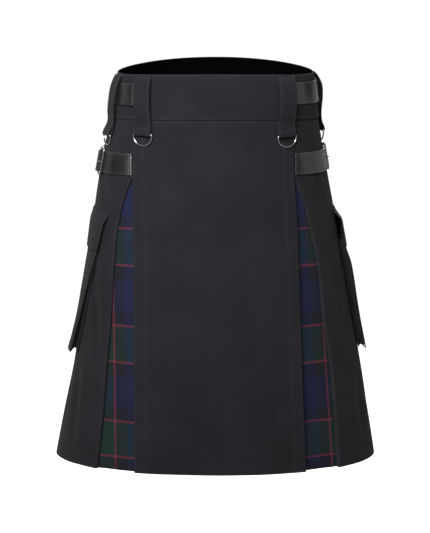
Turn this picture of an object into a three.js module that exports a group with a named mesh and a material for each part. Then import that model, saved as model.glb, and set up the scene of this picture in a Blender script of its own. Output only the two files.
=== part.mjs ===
// A utility kilt in the hollow form it has when it is worn: black cotton with a plain front apron,
// two side panels, tartan insets in the two front pleats, knife pleats at the back, cargo pockets,
// belt loops with D-rings, and buckled leather straps at the waist and the hips.
// Millimetres, +Z up, the front faces -Y. The origin is the middle of the waistband, where the
// wearer's waist holds the kilt. Left and right are the wearer's, so the right side is at -X.
import * as THREE from "three";

const rimZ = 33.5;
const bandSeamZ = -35; // the waistband's lower edge
const hemZ = -573.5;

// Sections of the kilt's outer cloth, from the rim to the hem. Each is a rounded oval about its own
// middle, which hangs a little to one side: power 2 is an ellipse, and more is squarer.
const bodySections = [
  { z: rimZ, middle: 0.8, halfWidth: 149.8, front: 101.4, back: 118, power: 2.1 },
  { z: bandSeamZ, middle: 0, halfWidth: 159.5, front: 108, back: 127, power: 2.1 },
  { z: -90, middle: -2.4, halfWidth: 170.7, front: 113.3, back: 135.8, power: 2.12 },
  { z: -190, middle: -1.3, halfWidth: 188, front: 123, back: 151, power: 2.15 },
  { z: -414, middle: 3.4, halfWidth: 221.5, front: 144, back: 172, power: 2.2 },
  { z: hemZ, middle: 0.3, halfWidth: 250, front: 158.5, back: 186, power: 2.25 },
];
const sideDip = 6.7; // the rim is this much lower at the sides than at the front
const backRise = 2.4; // and this much higher at the back
const seamGap = 0.3;

// Thickness of the cloth and the leather.
const cotton = 1.4;
const bandCloth = 3; // waistband: two layers and their interlining
const loopCloth = 1.6;
const strapLeather = 2;
const tabLeather = 1.2;

// Distance of each layer's middle from the outer cloth, along the outward normal.
const apronOut = 0.9;
const sideOut = -1.1;
const underBandOut = -3.4;
const underTopOut = -4.3;

// Where the front pleats open: the apron's two edges and the side panels' front edges, as X.
const frontEdges = [
  { z: -35, apronRight: -124.5, apronLeft: 118, sideRight: -113, sideLeft: 107 },
  { z: -105, apronRight: -124.5, apronLeft: 119.5, sideRight: -117, sideLeft: 111 },
  { z: -130, apronRight: -124.5, apronLeft: 120.5, sideRight: -130, sideLeft: 124 },
  { z: -165, apronRight: -124.5, apronLeft: 123, sideRight: -142, sideLeft: 137.5 },
  { z: -202, apronRight: -124, apronLeft: 125.1, sideRight: -150, sideLeft: 147 },
  { z: -260, apronRight: -123.3, apronLeft: 127.5, sideRight: -156, sideLeft: 159.5 },
  { z: -350, apronRight: -123, apronLeft: 130.6, sideRight: -161.5, sideLeft: 168.5 },
  { z: -405, apronRight: -123, apronLeft: 132.5, sideRight: -166.5, sideLeft: 178 },
  { z: -495, apronRight: -123, apronLeft: 136.1, sideRight: -174, sideLeft: 186.5 },
  { z: hemZ, apronRight: -123, apronLeft: 139.5, sideRight: -182.5, sideLeft: 192 },
];
const insetTopZ = -112;
const insetTuck = 16; // how far an inset reaches behind the apron and behind a side panel
const foldReturn = 22; // cloth turned back behind a side panel's front edge

// The middle of that turned-back layer, from the outer cloth, at the waistband and at the hem.
const returnDepth = { top: -2.6, hemRight: -5.4, hemLeft: -8 };

// The knife-pleated back runs between the side panels' rear edges, given as angles from the front.
const rearEdgeLeft = 144;
const rearEdgeRight = 229;
const pleats = {
  count: 8,
  ramp: 9, // each pleat comes out from under the last one over this length
  cloth: 1.2,
  spread: [
    { z: bandSeamZ, high: -0.3, mid: -2.3, low: -4.3 },
    { z: -180, high: -0.3, mid: -2.3, low: -4.3 },
    { z: -380, high: 1.2, mid: -1.9, low: -5 },
    { z: hemZ, high: 3.4, mid: -1.3, low: -6 },
  ],
};

// Cargo pockets. The front edge runs from edgeTop to edgeBottom, as angles from the front. A bag's
// rows tell how far it stands from the outer cloth at its side edges and half-way between them.
const pockets = {
  right: {
    side: -1, edgeTop: 59.5, edgeBottom: 77.6, flapEdge: 6.7, flapCentre: 3.2,
    bag: [
      { z: -226, edge: 4.5, centre: 1 },
      { z: -242, edge: 4.6, centre: 1.1 },
      { z: -268, edge: 7, centre: 2.4 },
      { z: -340, edge: 10, centre: 6.2 },
      { z: -405, edge: 13.2, centre: 9.5 },
    ],
  },
  left: {
    side: 1, edgeTop: 80.5, edgeBottom: 86.5, flapEdge: 10.5, flapCentre: 6.5,
    bag: [
      { z: -226, edge: 8.5, centre: 4.2 },
      { z: -242, edge: 8.6, centre: 4.3 },
      { z: -268, edge: 12.6, centre: 7 },
      { z: -340, edge: 11.6, centre: 7 },
      { z: -405, edge: 12.6, centre: 8 },
    ],
  },
};
const pocket = { topZ: -180, mouthZ: -226, bottomZ: -405, width: 165, sagEndZ: -333 };
// Heights of the rows of a bag's outer panel. The gusset's own rows lie at the same heights.
const bagRows = [pocket.mouthZ, -242, -268, -300, -340, -375, pocket.bottomZ];
const gusset = { cloth: 1.1, footOut: 1.1, underBag: 1.8, inside: 1.2, pinch: 5, fullRoom: 6.7, topDrop: 2 };
const flap = { bottomZ: -239, overhang: 3, topOut: 0.9, rise: 18 };

// Belt loops: the front pair hangs at a fixed X, the others at an angle from the front. low is the
// share of the bow that is left in the lower half. A loop with a ring is folded at foldZ round the
// ring's bar, which stands barOut from the outer cloth, with slack all round the bar.
const loop = { width: 29.5, topZ: 31, sewnZ: -50, backUp: 14, bowEnd: 70, slack: 0.4, layerGap: 1 };
const loops = [
  { name: "front_right", x: -107, bow: 7, low: 1, foldZ: -55.5, barOut: 5.7 },
  { name: "front_left", x: 106.8, bow: 7, low: 1, foldZ: -57.5, barOut: 5.3 },
  { name: "side_right", angle: -75.5, bow: 6.8, low: 0.9, foldZ: -59.5, barOut: 5.6 },
  { name: "side_left", angle: 102, bow: 10.4, low: 0.48, foldZ: -59.5, barOut: 4.7 },
  { name: "back_left", angle: 158, bow: 7, low: 1 },
  { name: "back_right", angle: 214, bow: 7, low: 1 },
];
const ringWire = 2.2;
const ringShape = { halfBar: 16.3, corner: 2, leg: 3.5, height: 17.4, cornerSteps: 2, arcSteps: 10 };

// Leather straps: each starts at the apron's edge and is buckled at the side. z is the strap's middle.
const strapWidth = 33;
const straps = [
  { name: "waist_right", side: -1, startX: -122, zFront: 3.5, zBack: 3.5, buckleAngle: 111, base: 1.9 },
  { name: "waist_left", side: 1, startX: 120, zFront: 5.5, zBack: 5.5, buckleAngle: 121, base: 1.9 },
  { name: "hip_right", side: -1, startX: -126, zFront: -103, zBack: -103, buckleAngle: 83, base: -0.1 },
  { name: "hip_left", side: 1, startX: 121.4, zFront: -102, zBack: -101, buckleAngle: 101, base: -0.1 },
];
const buckle = { gap: 17, wire: 2.4, halfHeight: 20.5, corner: 4, tail: 46, tab: 40, tabWrap: 9 };
const keeper = { width: 9, distance: 26, leather: 1.2 };

const colours = {
  cotton: { color: 0x2e2d32, roughness: 0.9, metalness: 0 },
  tartan: { color: 0x22284a, roughness: 0.85, metalness: 0 },
  leather: { color: 0x3c3b40, roughness: 0.5, metalness: 0 },
  nickel: { color: 0xb4b4b8, roughness: 0.3, metalness: 1 },
};

const deg = Math.PI / 180;
const mix = (a, b, t) => a + (b - a) * t;
const clamp01 = (t) => Math.min(1, Math.max(0, t));
const ease = (t) => clamp01(t) ** 2 * (3 - 2 * clamp01(t));

// A table's column at height z, as a smooth curve through its rows, which run downwards.
function column(rows, key, z) {
  const last = rows.length - 1;
  let k = 0;
  while (k < last - 1 && z < rows[k + 1].z) k++;
  const [p, q] = [rows[k], rows[k + 1]];
  const slope = (i) => {
    const [a, b] = [rows[Math.max(0, i - 1)], rows[Math.min(last, i + 1)]];
    return (b[key] - a[key]) / (b.z - a.z);
  };
  const span = q.z - p.z;
  const t = clamp01((z - p.z) / span);
  const bend = t * (1 - t) * span;
  return mix(p[key], q[key], ease(t)) + bend * ((1 - t) * slope(k) - t * slope(k + 1));
}

// The outer cloth's point at an angle from the front and a height, moved out along its normal.
function place(angle, z, out) {
  const halfWidth = column(bodySections, "halfWidth", z);
  const power = column(bodySections, "power", z);
  const [s, c] = [Math.sin(angle), Math.cos(angle)];
  const halfDepth = column(bodySections, c > 0 ? "front" : "back", z);
  const [u, v] = [Math.abs(s) ** (2 / power), Math.abs(c) ** (2 / power)];
  const x = column(bodySections, "middle", z) + Math.sign(s) * halfWidth * u;
  const y = -Math.sign(c) * halfDepth * v;
  const across = (Math.sign(s) * u ** (power - 1)) / halfWidth;
  const along = (-Math.sign(c) * v ** (power - 1)) / halfDepth;
  const length = Math.hypot(across, along);
  const fade = clamp01((z - hemZ) / (bandSeamZ - hemZ));
  const rise = backRise * Math.min(0, c) ** 2 - sideDip * s * s;
  return new THREE.Vector3(
    x + (out * across) / length,
    y + (out * along) / length,
    z + rise * fade,
  );
}

// Length along the outer cloth at height z, from the front middle to each angle, and back again.
const girths = new Map();
function girth(z) {
  if (girths.has(z)) return girths.get(z);
  const steps = 360;
  const lengths = [0];
  for (let i = 1; i <= steps; i++) {
    const [a, b] = [place((i - 1) * deg, z, 0), place(i * deg, z, 0)];
    lengths.push(lengths[i - 1] + Math.hypot(a.x - b.x, a.y - b.y));
  }
  const total = lengths[steps];
  const lengthAt = (angle) => {
    const turns = Math.floor(angle / (2 * Math.PI));
    const a = angle / deg - turns * steps;
    const i = Math.min(steps - 1, Math.floor(a));
    return turns * total + mix(lengths[i], lengths[i + 1], a - i);
  };
  const angleAt = (length) => {
    const turns = Math.floor(length / total);
    const l = length - turns * total;
    const i = Math.max(1, lengths.findIndex((v) => v >= l));
    const t = (l - lengths[i - 1]) / (lengths[i] - lengths[i - 1]);
    return (turns * steps + i - 1 + t) * deg;
  };
  girths.set(z, { total, lengthAt, angleAt });
  return girths.get(z);
}

// The angle at which the outer cloth has this X at height z, on the front half.
function angleOfX(x, z) {
  const fromMiddle = x - column(bodySections, "middle", z);
  const share = Math.abs(fromMiddle) / column(bodySections, "halfWidth", z);
  return Math.sign(fromMiddle) * Math.asin(share ** (column(bodySections, "power", z) / 2));
}
function lengthOfX(x, z) {
  const angle = angleOfX(x, z);
  return Math.sign(angle) * girth(z).lengthAt(Math.abs(angle));
}
const placeAlong = (length, z, out) => place(girth(z).angleAt(length), z, out);

const steps = (from, to, count) => Array.from({ length: count + 1 }, (_, i) => mix(from, to, i / count));

// A closed solid from faces of point indices, turned so that they face out.
function solid(points, faces) {
  let volume = 0;
  for (const [a, b, c] of faces) {
    volume += points[a].dot(points[b].clone().cross(points[c])) / 6;
  }
  const order = volume < 0 ? faces.map(([a, b, c]) => [a, c, b]) : faces;
  const geometry = new THREE.BufferGeometry();
  const flat = points.flatMap((p) => [p.x, p.y, p.z]);
  geometry.setAttribute("position", new THREE.Float32BufferAttribute(flat, 3));
  geometry.setIndex(order.flat());
  geometry.computeVertexNormals();
  return geometry;
}

// A wall of cloth on a grid of middle points: both faces lie half its thickness away along the
// grid's normals, and its four edges are closed.
function wall(grid, thickness) {
  const [rows, cols] = [grid.length, grid[0].length];
  const at = (j, i) =>
    grid[Math.min(rows - 1, Math.max(0, j))][Math.min(cols - 1, Math.max(0, i))];
  const points = [];
  for (const side of [1, -1]) {
    for (let j = 0; j < rows; j++) {
      for (let i = 0; i < cols; i++) {
        const along = at(j, i + 1).clone().sub(at(j, i - 1));
        const down = at(j + 1, i).clone().sub(at(j - 1, i));
        const normal = along.cross(down).normalize();
        points.push(at(j, i).clone().addScaledVector(normal, (side * thickness) / 2));
      }
    }
  }
  const outer = (j, i) => j * cols + i;
  const inner = (j, i) => rows * cols + j * cols + i;
  const faces = [];
  const quad = (a, b, c, d) => faces.push([a, b, c], [a, c, d]);
  for (let j = 0; j < rows - 1; j++) {
    for (let i = 0; i < cols - 1; i++) {
      quad(outer(j, i), outer(j + 1, i), outer(j + 1, i + 1), outer(j, i + 1));
      quad(inner(j, i), inner(j, i + 1), inner(j + 1, i + 1), inner(j + 1, i));
    }
    quad(outer(j, 0), inner(j, 0), inner(j + 1, 0), outer(j + 1, 0));
    quad(outer(j, cols - 1), outer(j + 1, cols - 1), inner(j + 1, cols - 1), inner(j, cols - 1));
  }
  for (let i = 0; i < cols - 1; i++) {
    quad(outer(0, i), outer(0, i + 1), inner(0, i + 1), inner(0, i));
    quad(outer(rows - 1, i), inner(rows - 1, i), inner(rows - 1, i + 1), outer(rows - 1, i + 1));
  }
  return solid(points, faces);
}

// A round bar swept along a closed or open path of points. across is a direction that lies square
// to the path everywhere.
function bar(path, diameter, across, isClosed, sides = 8) {
  const points = [];
  const count = path.length;
  path.forEach((p, j) => {
    const before = path[isClosed ? (j + count - 1) % count : Math.max(0, j - 1)];
    const after = path[isClosed ? (j + 1) % count : Math.min(count - 1, j + 1)];
    const side = after.clone().sub(before).cross(across).normalize();
    for (let i = 0; i < sides; i++) {
      const turn = (2 * Math.PI * (i + 0.5)) / sides;
      const r = diameter / 2;
      points.push(
        p.clone().addScaledVector(across, r * Math.cos(turn)).addScaledVector(side, r * Math.sin(turn)),
      );
    }
  });
  const faces = [];
  for (let j = 0; j < (isClosed ? count : count - 1); j++) {
    const next = (j + 1) % count;
    for (let i = 0; i < sides; i++) {
      const k = (i + 1) % sides;
      faces.push([j * sides + i, next * sides + i, next * sides + k]);
      faces.push([j * sides + i, next * sides + k, j * sides + k]);
    }
  }
  if (!isClosed) {
    for (let i = 1; i < sides - 1; i++) {
      faces.push([0, i, i + 1]);
      const last = (count - 1) * sides;
      faces.push([last, last + i + 1, last + i]);
    }
  }
  return solid(points, faces);
}

const kilt = new THREE.Group();
function add(name, geometry, finish) {
  const mesh = new THREE.Mesh(geometry, new THREE.MeshStandardMaterial(colours[finish]));
  mesh.name = name;
  kilt.add(mesh);
}

// Heights of the rows of a panel that hangs from the waistband to the hem.
const panelRows = [bandSeamZ - seamGap, -75, ...frontEdges.slice(1).map((row) => row.z)];

// One long band: it starts at the apron's free edge, goes once round the waist, and dips under its
// own start to carry the under apron.
function waistband() {
  const rows = steps(rimZ, bandSeamZ, 2);
  const startX = -118;
  const underEndX = 104;
  const dip = { before: 30, until: 7 };
  const grid = rows.map((z) => {
    const { total, lengthAt } = girth(z);
    const start = lengthOfX(startX, z);
    const end = lengthAt(angleOfX(underEndX, z)) + total;
    const lap = start + total;
    const cuts = [
      ...steps(start, lap - dip.before, 66),
      ...steps(lap - dip.before, lap - dip.until, 4).slice(1),
      ...steps(lap - dip.until, end, 18).slice(1),
    ];
    return cuts.map((length) => {
      const t = (length - (lap - dip.before)) / (dip.before - dip.until);
      return placeAlong(length, z, underBandOut * ease(t));
    });
  });
  return wall(grid, bandCloth);
}

function apron() {
  const grid = panelRows.map((z) => {
    const from = lengthOfX(column(frontEdges, "apronRight", z), z);
    const to = lengthOfX(column(frontEdges, "apronLeft", z), z);
    return steps(from, to, 18).map((length) => placeAlong(length, z, apronOut));
  });
  return wall(grid, cotton);
}

// The middle of a side panel's turned-back layer, and of the inset behind it.
function returnOut(side, z) {
  const hem = side < 0 ? returnDepth.hemRight : returnDepth.hemLeft;
  return mix(returnDepth.top, hem, ease((bandSeamZ - z) / (bandSeamZ - hemZ)));
}
const insetGap = 0.6;
const insetOut = (side, z) => returnOut(side, z) - cotton - insetGap;

// The under apron hangs from the end of the band, behind the front apron. Its right edge is sewn
// to the right inset, and its left edge hangs free behind the left inset.
function underApron() {
  const clear = { right: 1, left: 8, behind: 1.4 };
  const lanes = 14;
  const grid = panelRows.map((z) => {
    const from = lengthOfX(column(frontEdges, "apronRight", z) + insetTuck + clear.right, z);
    const to = lengthOfX(column(frontEdges, "apronLeft", z) + clear.left, z);
    const sewn = Math.min(underBandOut, insetOut(-1, z));
    const free = insetOut(1, z) - cotton - clear.behind;
    return steps(from, to, lanes).map((length, i) => {
      const out = mix(sewn, free, ease((2 * i) / lanes));
      return placeAlong(length, z, z > bandSeamZ - 1 ? underTopOut : out);
    });
  });
  return wall(grid, cotton);
}

// A side panel: turned back behind its front edge, then flat round the side to the rear edge.
function sidePanel(side) {
  const edge = side < 0 ? "sideRight" : "sideLeft";
  const rearEdge = side < 0 ? 360 - rearEdgeRight : rearEdgeLeft;
  const rearLap = side < 0 ? -2 : 2; // the left panel laps over the first pleat
  const turns = 4;
  const grid = panelRows.map((z) => {
    const front = Math.abs(lengthOfX(column(frontEdges, edge, z), z));
    const rear = girth(z).lengthAt(rearEdge * deg) + rearLap;
    const inner = returnOut(side, z);
    const radius = (sideOut - inner) / 2;
    const behind = steps(front + foldReturn, front + radius, 3).map((l) => [l, inner]);
    const fold = steps(0, 1, turns).slice(1, -1).map((t) => [
      front + radius - radius * Math.sin(Math.PI * t),
      (sideOut + inner) / 2 - radius * Math.cos(Math.PI * t),
    ]);
    const outside = steps(front + radius, rear, 20).map((l) => [l, sideOut]);
    return [...behind, ...fold, ...outside].map(([length, out]) => placeAlong(side * length, z, out));
  });
  return wall(grid, cotton);
}

// A tartan inset: the floor of a front pleat, behind the apron's edge and the side panel's fold.
function inset(side) {
  const [apronEdge, sideEdge] = side < 0 ? ["apronRight", "sideRight"] : ["apronLeft", "sideLeft"];
  const rows = [insetTopZ, ...panelRows.filter((z) => z < insetTopZ)];
  const grid = rows.map((z) => {
    const inner = Math.abs(lengthOfX(column(frontEdges, apronEdge, z), z)) - insetTuck;
    const outer = Math.abs(lengthOfX(column(frontEdges, sideEdge, z), z)) + insetTuck;
    return steps(inner, outer, 6).map((length) => placeAlong(side * length, z, insetOut(side, z)));
  });
  return wall(grid, cotton);
}

// Knife pleats: each comes out from under the last one, lies flat to its fold, goes back under
// itself and returns to start the next.
function pleatedBack() {
  const rows = [bandSeamZ - seamGap, -120, -240, -360, -470, hemZ];
  const { count, ramp, spread } = pleats;
  const grid = rows.map((z) => {
    const { lengthAt } = girth(z);
    const first = lengthAt(rearEdgeLeft * deg);
    const pitch = (lengthAt(rearEdgeRight * deg) - first) / count;
    const [high, mid, low] = ["high", "mid", "low"].map((key) => column(spread, key, z));
    const path = [[first - 4, low]];
    for (let i = 0; i < count; i++) {
      const start = first + i * pitch;
      const edge = start + pitch + 1;
      const [upper, lower] = [(high - mid) / 2, (mid - low) / 2];
      path.push([start + 3.5, low]);
      path.push([start + ramp * 0.72, mix(low, high, 0.62)]);
      path.push([start + ramp, high]);
      path.push([edge - upper, high]);
      path.push([edge - upper * 0.3, high - upper * 0.3]);
      path.push([edge - upper * 0.3, mid + upper * 0.3]);
      path.push([edge - upper, mid]);
      path.push([start + ramp + 2 + lower, mid]);
      path.push([start + ramp + 2 + lower * 0.3, mid - lower * 0.3]);
      path.push([start + ramp + 2 + lower * 0.3, low + lower * 0.3]);
      path.push([start + ramp + 2 + lower, low]);
    }
    path.push([first + count * pitch + 2, low]);
    return path.map(([length, out]) => placeAlong(length, z, out));
  });
  return wall(grid, pleats.cloth);
}

// The run of a pocket at a height: the angles of its front and rear edges, through its own width.
function pocketRun(spec, z, widen = 0) {
  const t = (z - pocket.topZ) / (pocket.bottomZ - pocket.topZ);
  const edge = mix(spec.edgeTop, spec.edgeBottom, t) * deg;
  const from = girth(z).lengthAt(edge) - widen;
  return { from, to: from + pocket.width + 2 * widen };
}

// The shares across a pocket, and how far each has sunk from the edges' level to the centre's.
const lanesAcross = 12;
const sagAt = (lane) => ease(1.3 * Math.sin((Math.PI * lane) / lanesAcross));

// The bag's outer panel: proud along its edges, where the gusset holds it off, and sunk between.
function pocketPanel(spec) {
  const grid = bagRows.map((z) => {
    const { from, to } = pocketRun(spec, z);
    const [edge, centre] = [column(spec.bag, "edge", z), column(spec.bag, "centre", z)];
    const kept = 1 - clamp01((pocket.sagEndZ - z) / (pocket.sagEndZ - pocket.bottomZ)) ** 2;
    return steps(from, to, lanesAcross).map((length, i) =>
      placeAlong(spec.side * length, z, mix(edge, centre, sagAt(i) * kept)),
    );
  });
  return wall(grid, cotton);
}

// The gusset: a strip folded inwards, sewn to the side panel and to the bag's edge on three sides.
function pocketGusset(spec) {
  const { inside } = gusset;
  const top = pocket.mouthZ - gusset.topDrop;
  const bottom = pocket.bottomZ + inside;
  const stations = [];
  const station = (z, share, inX, inZ) => stations.push({ z, share, inX, inZ });
  const down = [top, ...bagRows.slice(1, -1)];
  down.forEach((z) => station(z, 0, 1, 0));
  station(bottom, 0, 1, 1);
  steps(0, 1, 7).slice(1, -1).forEach((share) => station(bottom, share, 0, 1));
  station(bottom, 1, -1, 1);
  down.reverse().forEach((z) => station(z, 1, -1, 0));
  const profile = [[0, 0], [1, 0.42], [1, 0.58], [0, 1]];
  const grid = stations.map(({ z, share, inX, inZ }) => {
    const edge = column(spec.bag, "edge", z);
    // a low gusset has no room for a deep fold, whose wall would cross itself
    const room = edge - gusset.footOut - gusset.underBag;
    const pinch = gusset.pinch * Math.min(1, room / gusset.fullRoom) ** 2;
    return profile.map(([folded, rise]) => {
      const height = z + inZ * folded * pinch;
      const { from, to } = pocketRun(spec, height);
      const length = mix(from + inside, to - inside, share) + inX * folded * pinch;
      return placeAlong(spec.side * length, height, mix(gusset.footOut, edge - gusset.underBag, rise));
    });
  });
  return wall(grid, gusset.cloth);
}

// The flap is sewn above the mouth and stands out over the bag's top.
function pocketFlap(spec) {
  const rows = [0, 0.08, 0.18, 0.34, 0.6, 1];
  const grid = rows.map((t) => {
    const z = mix(pocket.topZ, flap.bottomZ, t);
    const { from, to } = pocketRun(spec, z, flap.overhang);
    const risen = ease((pocket.topZ - z) / flap.rise);
    return steps(from, to, lanesAcross).map((length, i) => {
      const full = mix(spec.flapEdge, spec.flapCentre, sagAt(i));
      return placeAlong(spec.side * length, z, mix(flap.topOut, full, risen));
    });
  });
  return wall(grid, cotton);
}

// A belt loop's own frame: its middle line down the band, and the direction across it.
function loopLine({ x, angle }) {
  const angleAt = (z) => (x === undefined ? angle * deg : angleOfX(x, z));
  const [a, b] = [place(angleAt(0) - deg, 0, 0), place(angleAt(0) + deg, 0, 0)];
  const across = b.sub(a).setZ(0).normalize();
  return { across, at: (z, out) => place(angleAt(z), z, out) };
}

// A loop is sewn at the rim, stands off the band for a belt, and is sewn again below the band.
// One that carries a ring wraps its bar and ends behind itself.
function beltLoop(spec) {
  const { across, at } = loopLine(spec);
  const { bow, low, foldZ, barOut } = spec;
  const seat = bandCloth / 2 + seamGap + loopCloth / 2;
  const profile = [
    [loop.topZ, seat],
    [loop.topZ - 7, seat + bow * 0.45],
    [loop.topZ - 20, seat + bow * 0.9],
    [loop.topZ - 38, seat + bow * mix(low, 1, 0.6)],
    [loop.topZ - 56, seat + bow * 0.85 * low],
    [loop.topZ - loop.bowEnd, seat + Math.max(2, bow * 0.35 * low)],
  ];
  if (barOut) {
    const hold = ringWire / 2 + loop.slack + loopCloth / 2;
    const back = barOut - hold;
    const front = back + loopCloth + loop.layerGap;
    profile.push([(loop.topZ - loop.bowEnd + foldZ) / 2, front], [foldZ + 6, barOut + hold * 0.8]);
    for (const t of steps(0, 1, 6)) {
      profile.push([foldZ - hold * Math.sin(Math.PI * t), barOut + hold * Math.cos(Math.PI * t)]);
    }
    profile.push([foldZ + 6, back], [foldZ + loop.backUp, back]);
  } else {
    profile.push([loop.sewnZ, seat + seamGap], [loop.sewnZ - 9, seat + seamGap]);
  }
  const half = loop.width / 2;
  const grid = profile.map(([z, out]) => [-half, half].map((w) => at(z, out).addScaledVector(across, w)));
  return wall(grid, loopCloth);
}

// A D-ring hangs straight down from its bar, which lies in the fold at the loop's lower end.
function dRing(spec) {
  const { across, at } = loopLine(spec);
  const middle = at(spec.foldZ, spec.barOut);
  const { halfBar, corner, leg, height, cornerSteps, arcSteps } = ringShape;
  const outline = [[0, 0]];
  for (const t of steps(0, 1, cornerSteps)) {
    const turn = (Math.PI / 2) * t;
    outline.push([halfBar - corner + corner * Math.sin(turn), corner * Math.cos(turn) - corner]);
  }
  for (const t of steps(0, 1, arcSteps)) {
    outline.push([halfBar * Math.cos(Math.PI * t), -leg - (height - leg) * Math.sin(Math.PI * t)]);
  }
  for (const t of steps(1, 0, cornerSteps)) {
    const turn = (Math.PI / 2) * t;
    outline.push([corner - halfBar - corner * Math.sin(turn), corner * Math.cos(turn) - corner]);
  }
  const up = new THREE.Vector3(0, 0, 1);
  const path = outline.map(([w, z]) =>
    middle.clone().addScaledVector(across, w).addScaledVector(up, z),
  );
  const outward = new THREE.Vector3(across.y, -across.x, 0);
  return bar(path, ringWire, outward, true, 6);
}

// The places along a strap, as lengths round the body at the strap's height.
function strapRun(spec) {
  const z = mix(spec.zFront, spec.zBack, 0.5);
  const heel = girth(z).lengthAt(spec.buckleAngle * deg);
  return { z, start: Math.abs(lengthOfX(spec.startX, z)), heel, toe: heel - buckle.gap };
}

// A strip of leather that follows the body: path holds lengths and distances from the cloth.
function leatherStrip(spec, path, width, leather) {
  const { z, start, heel } = strapRun(spec);
  const grid = [width / 2, -width / 2].map((w) =>
    path.map(([length, out]) => {
      const t = clamp01((length - start) / (heel - start));
      const middle = mix(spec.zFront, spec.zBack, t);
      const lean = angleOfX(spec.startX, middle + w) - angleOfX(spec.startX, z);
      const angle = spec.side * girth(z).angleAt(length) + (1 - t) * lean;
      return place(angle, middle + w, spec.base + out);
    }),
  );
  return wall(grid, leather);
}

// Heights over the cloth: the strap's middle where it lies flat, the buckle's two bars, and the
// strap's middle on top of the heel bar and on the tab.
const grip = 0.25; // between a bar and the tab that is wrapped round it
const lie = seamGap + strapLeather / 2;
const heelOut = seamGap + tabLeather + grip + buckle.wire / 2;
const toeOut = seamGap + strapLeather + seamGap + buckle.wire / 2;
const hump = heelOut + buckle.wire / 2 + grip + tabLeather + seamGap + strapLeather / 2;
const onTab = seamGap + tabLeather + seamGap + strapLeather / 2;

// The strap passes under the buckle's front bar, over its heel bar, and lies on the tab behind it.
function strap(spec) {
  const { start, heel, toe } = strapRun(spec);
  const path = steps(start, toe + 1, 12).map((length) => [length, lie]);
  path.push([toe + 5, mix(lie, hump, 0.25)], [heel - 5, mix(lie, hump, 0.85)], [heel, hump]);
  path.push([heel + 5, hump - 0.6], [heel + 11, onTab + 1], [heel + 16, onTab]);
  path.push([heel + 31, onTab], [heel + buckle.tail, onTab]);
  return leatherStrip(spec, path, strapWidth, strapLeather);
}

// The tab is sewn to the cloth behind the buckle and wraps the heel bar.
function strapTab(spec) {
  const { heel } = strapRun(spec);
  const flat = seamGap + tabLeather / 2;
  const radius = heelOut - flat;
  const path = [[heel + buckle.tab, flat], [heel + 25, flat], [heel + 12, flat]];
  for (const t of steps(0, 1, 6)) {
    path.push([heel - radius * Math.sin(Math.PI * t), heelOut - radius * Math.cos(Math.PI * t)]);
  }
  path.push([heel + buckle.tabWrap * 0.5, heelOut + radius - 0.9]);
  path.push([heel + buckle.tabWrap, flat + tabLeather + 0.4]);
  return leatherStrip(spec, path, strapWidth - 4, tabLeather);
}

// A flat frame, square with rounded corners, held by its heel bar.
function buckleFrame(spec) {
  const { z, heel, toe } = strapRun(spec);
  const at = (length, out, w) =>
    place(spec.side * girth(z).angleAt(length), spec.zBack + w, spec.base + out);
  const [heelAt, toeAt] = [at(heel, heelOut, 0), at(toe, toeOut, 0)];
  const up = at(heel, heelOut, 10).sub(at(heel, heelOut, -10)).normalize();
  const run = toeAt.sub(heelAt);
  run.addScaledVector(up, -run.dot(up));
  const [gap, corner, half] = [run.length(), buckle.corner, buckle.halfHeight];
  run.normalize();
  const outline = [];
  for (const [u, w, from] of [[gap, half, 0], [gap, -half, 1], [0, -half, 2], [0, half, 3]]) {
    for (const t of steps(0, 1, 3)) {
      const turn = (from + t) * (Math.PI / 2);
      const [cu, cw] = [u + (u > 0 ? -corner : corner), w - Math.sign(w) * corner];
      outline.push([cu + corner * Math.sin(turn), cw + corner * Math.cos(turn)]);
    }
  }
  const rise = run.clone().cross(up);
  const path = outline.map(([u, w]) => heelAt.clone().addScaledVector(run, u).addScaledVector(up, w));
  return bar(path, buckle.wire, rise, true, 6);
}

// The prong comes up through the strap and rests on the front bar.
function prong(spec) {
  const { z, toe } = strapRun(spec);
  const wire = 2;
  const top = toeOut + buckle.wire / 2 + seamGap + wire / 2;
  const line = [[toe - 3, top - 0.3], [toe + 1, top], [toe + 5, top + 0.6], [toe + 11, hump + 1.2]];
  const path = line.map(([length, out]) =>
    place(spec.side * girth(z).angleAt(length), spec.zBack, spec.base + out),
  );
  return bar(path, wire, new THREE.Vector3(0, 0, 1), false, 6);
}

// The keeper bridges the strap's tail and is sewn to the cloth above and below it.
function strapKeeper(spec) {
  const { z, heel } = strapRun(spec);
  const middle = heel + keeper.distance;
  const half = strapWidth / 2 + 1.6;
  const top = onTab + strapLeather / 2 + seamGap + keeper.leather / 2;
  const foot = seamGap + keeper.leather / 2;
  const profile = [[half + 3, foot], [half + 0.2, foot], [half, foot + 0.6]];
  profile.push([half, top - 1.4], [half - 1.6, top]);
  const bridge = [...profile, ...profile.map(([w, out]) => [-w, out]).reverse()];
  const grid = bridge.map(([w, out]) =>
    steps(middle - keeper.width / 2, middle + keeper.width / 2, 1).map((length) =>
      place(spec.side * girth(z).angleAt(length), spec.zBack + w, spec.base + out),
    ),
  );
  return wall(grid, keeper.leather);
}

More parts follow.
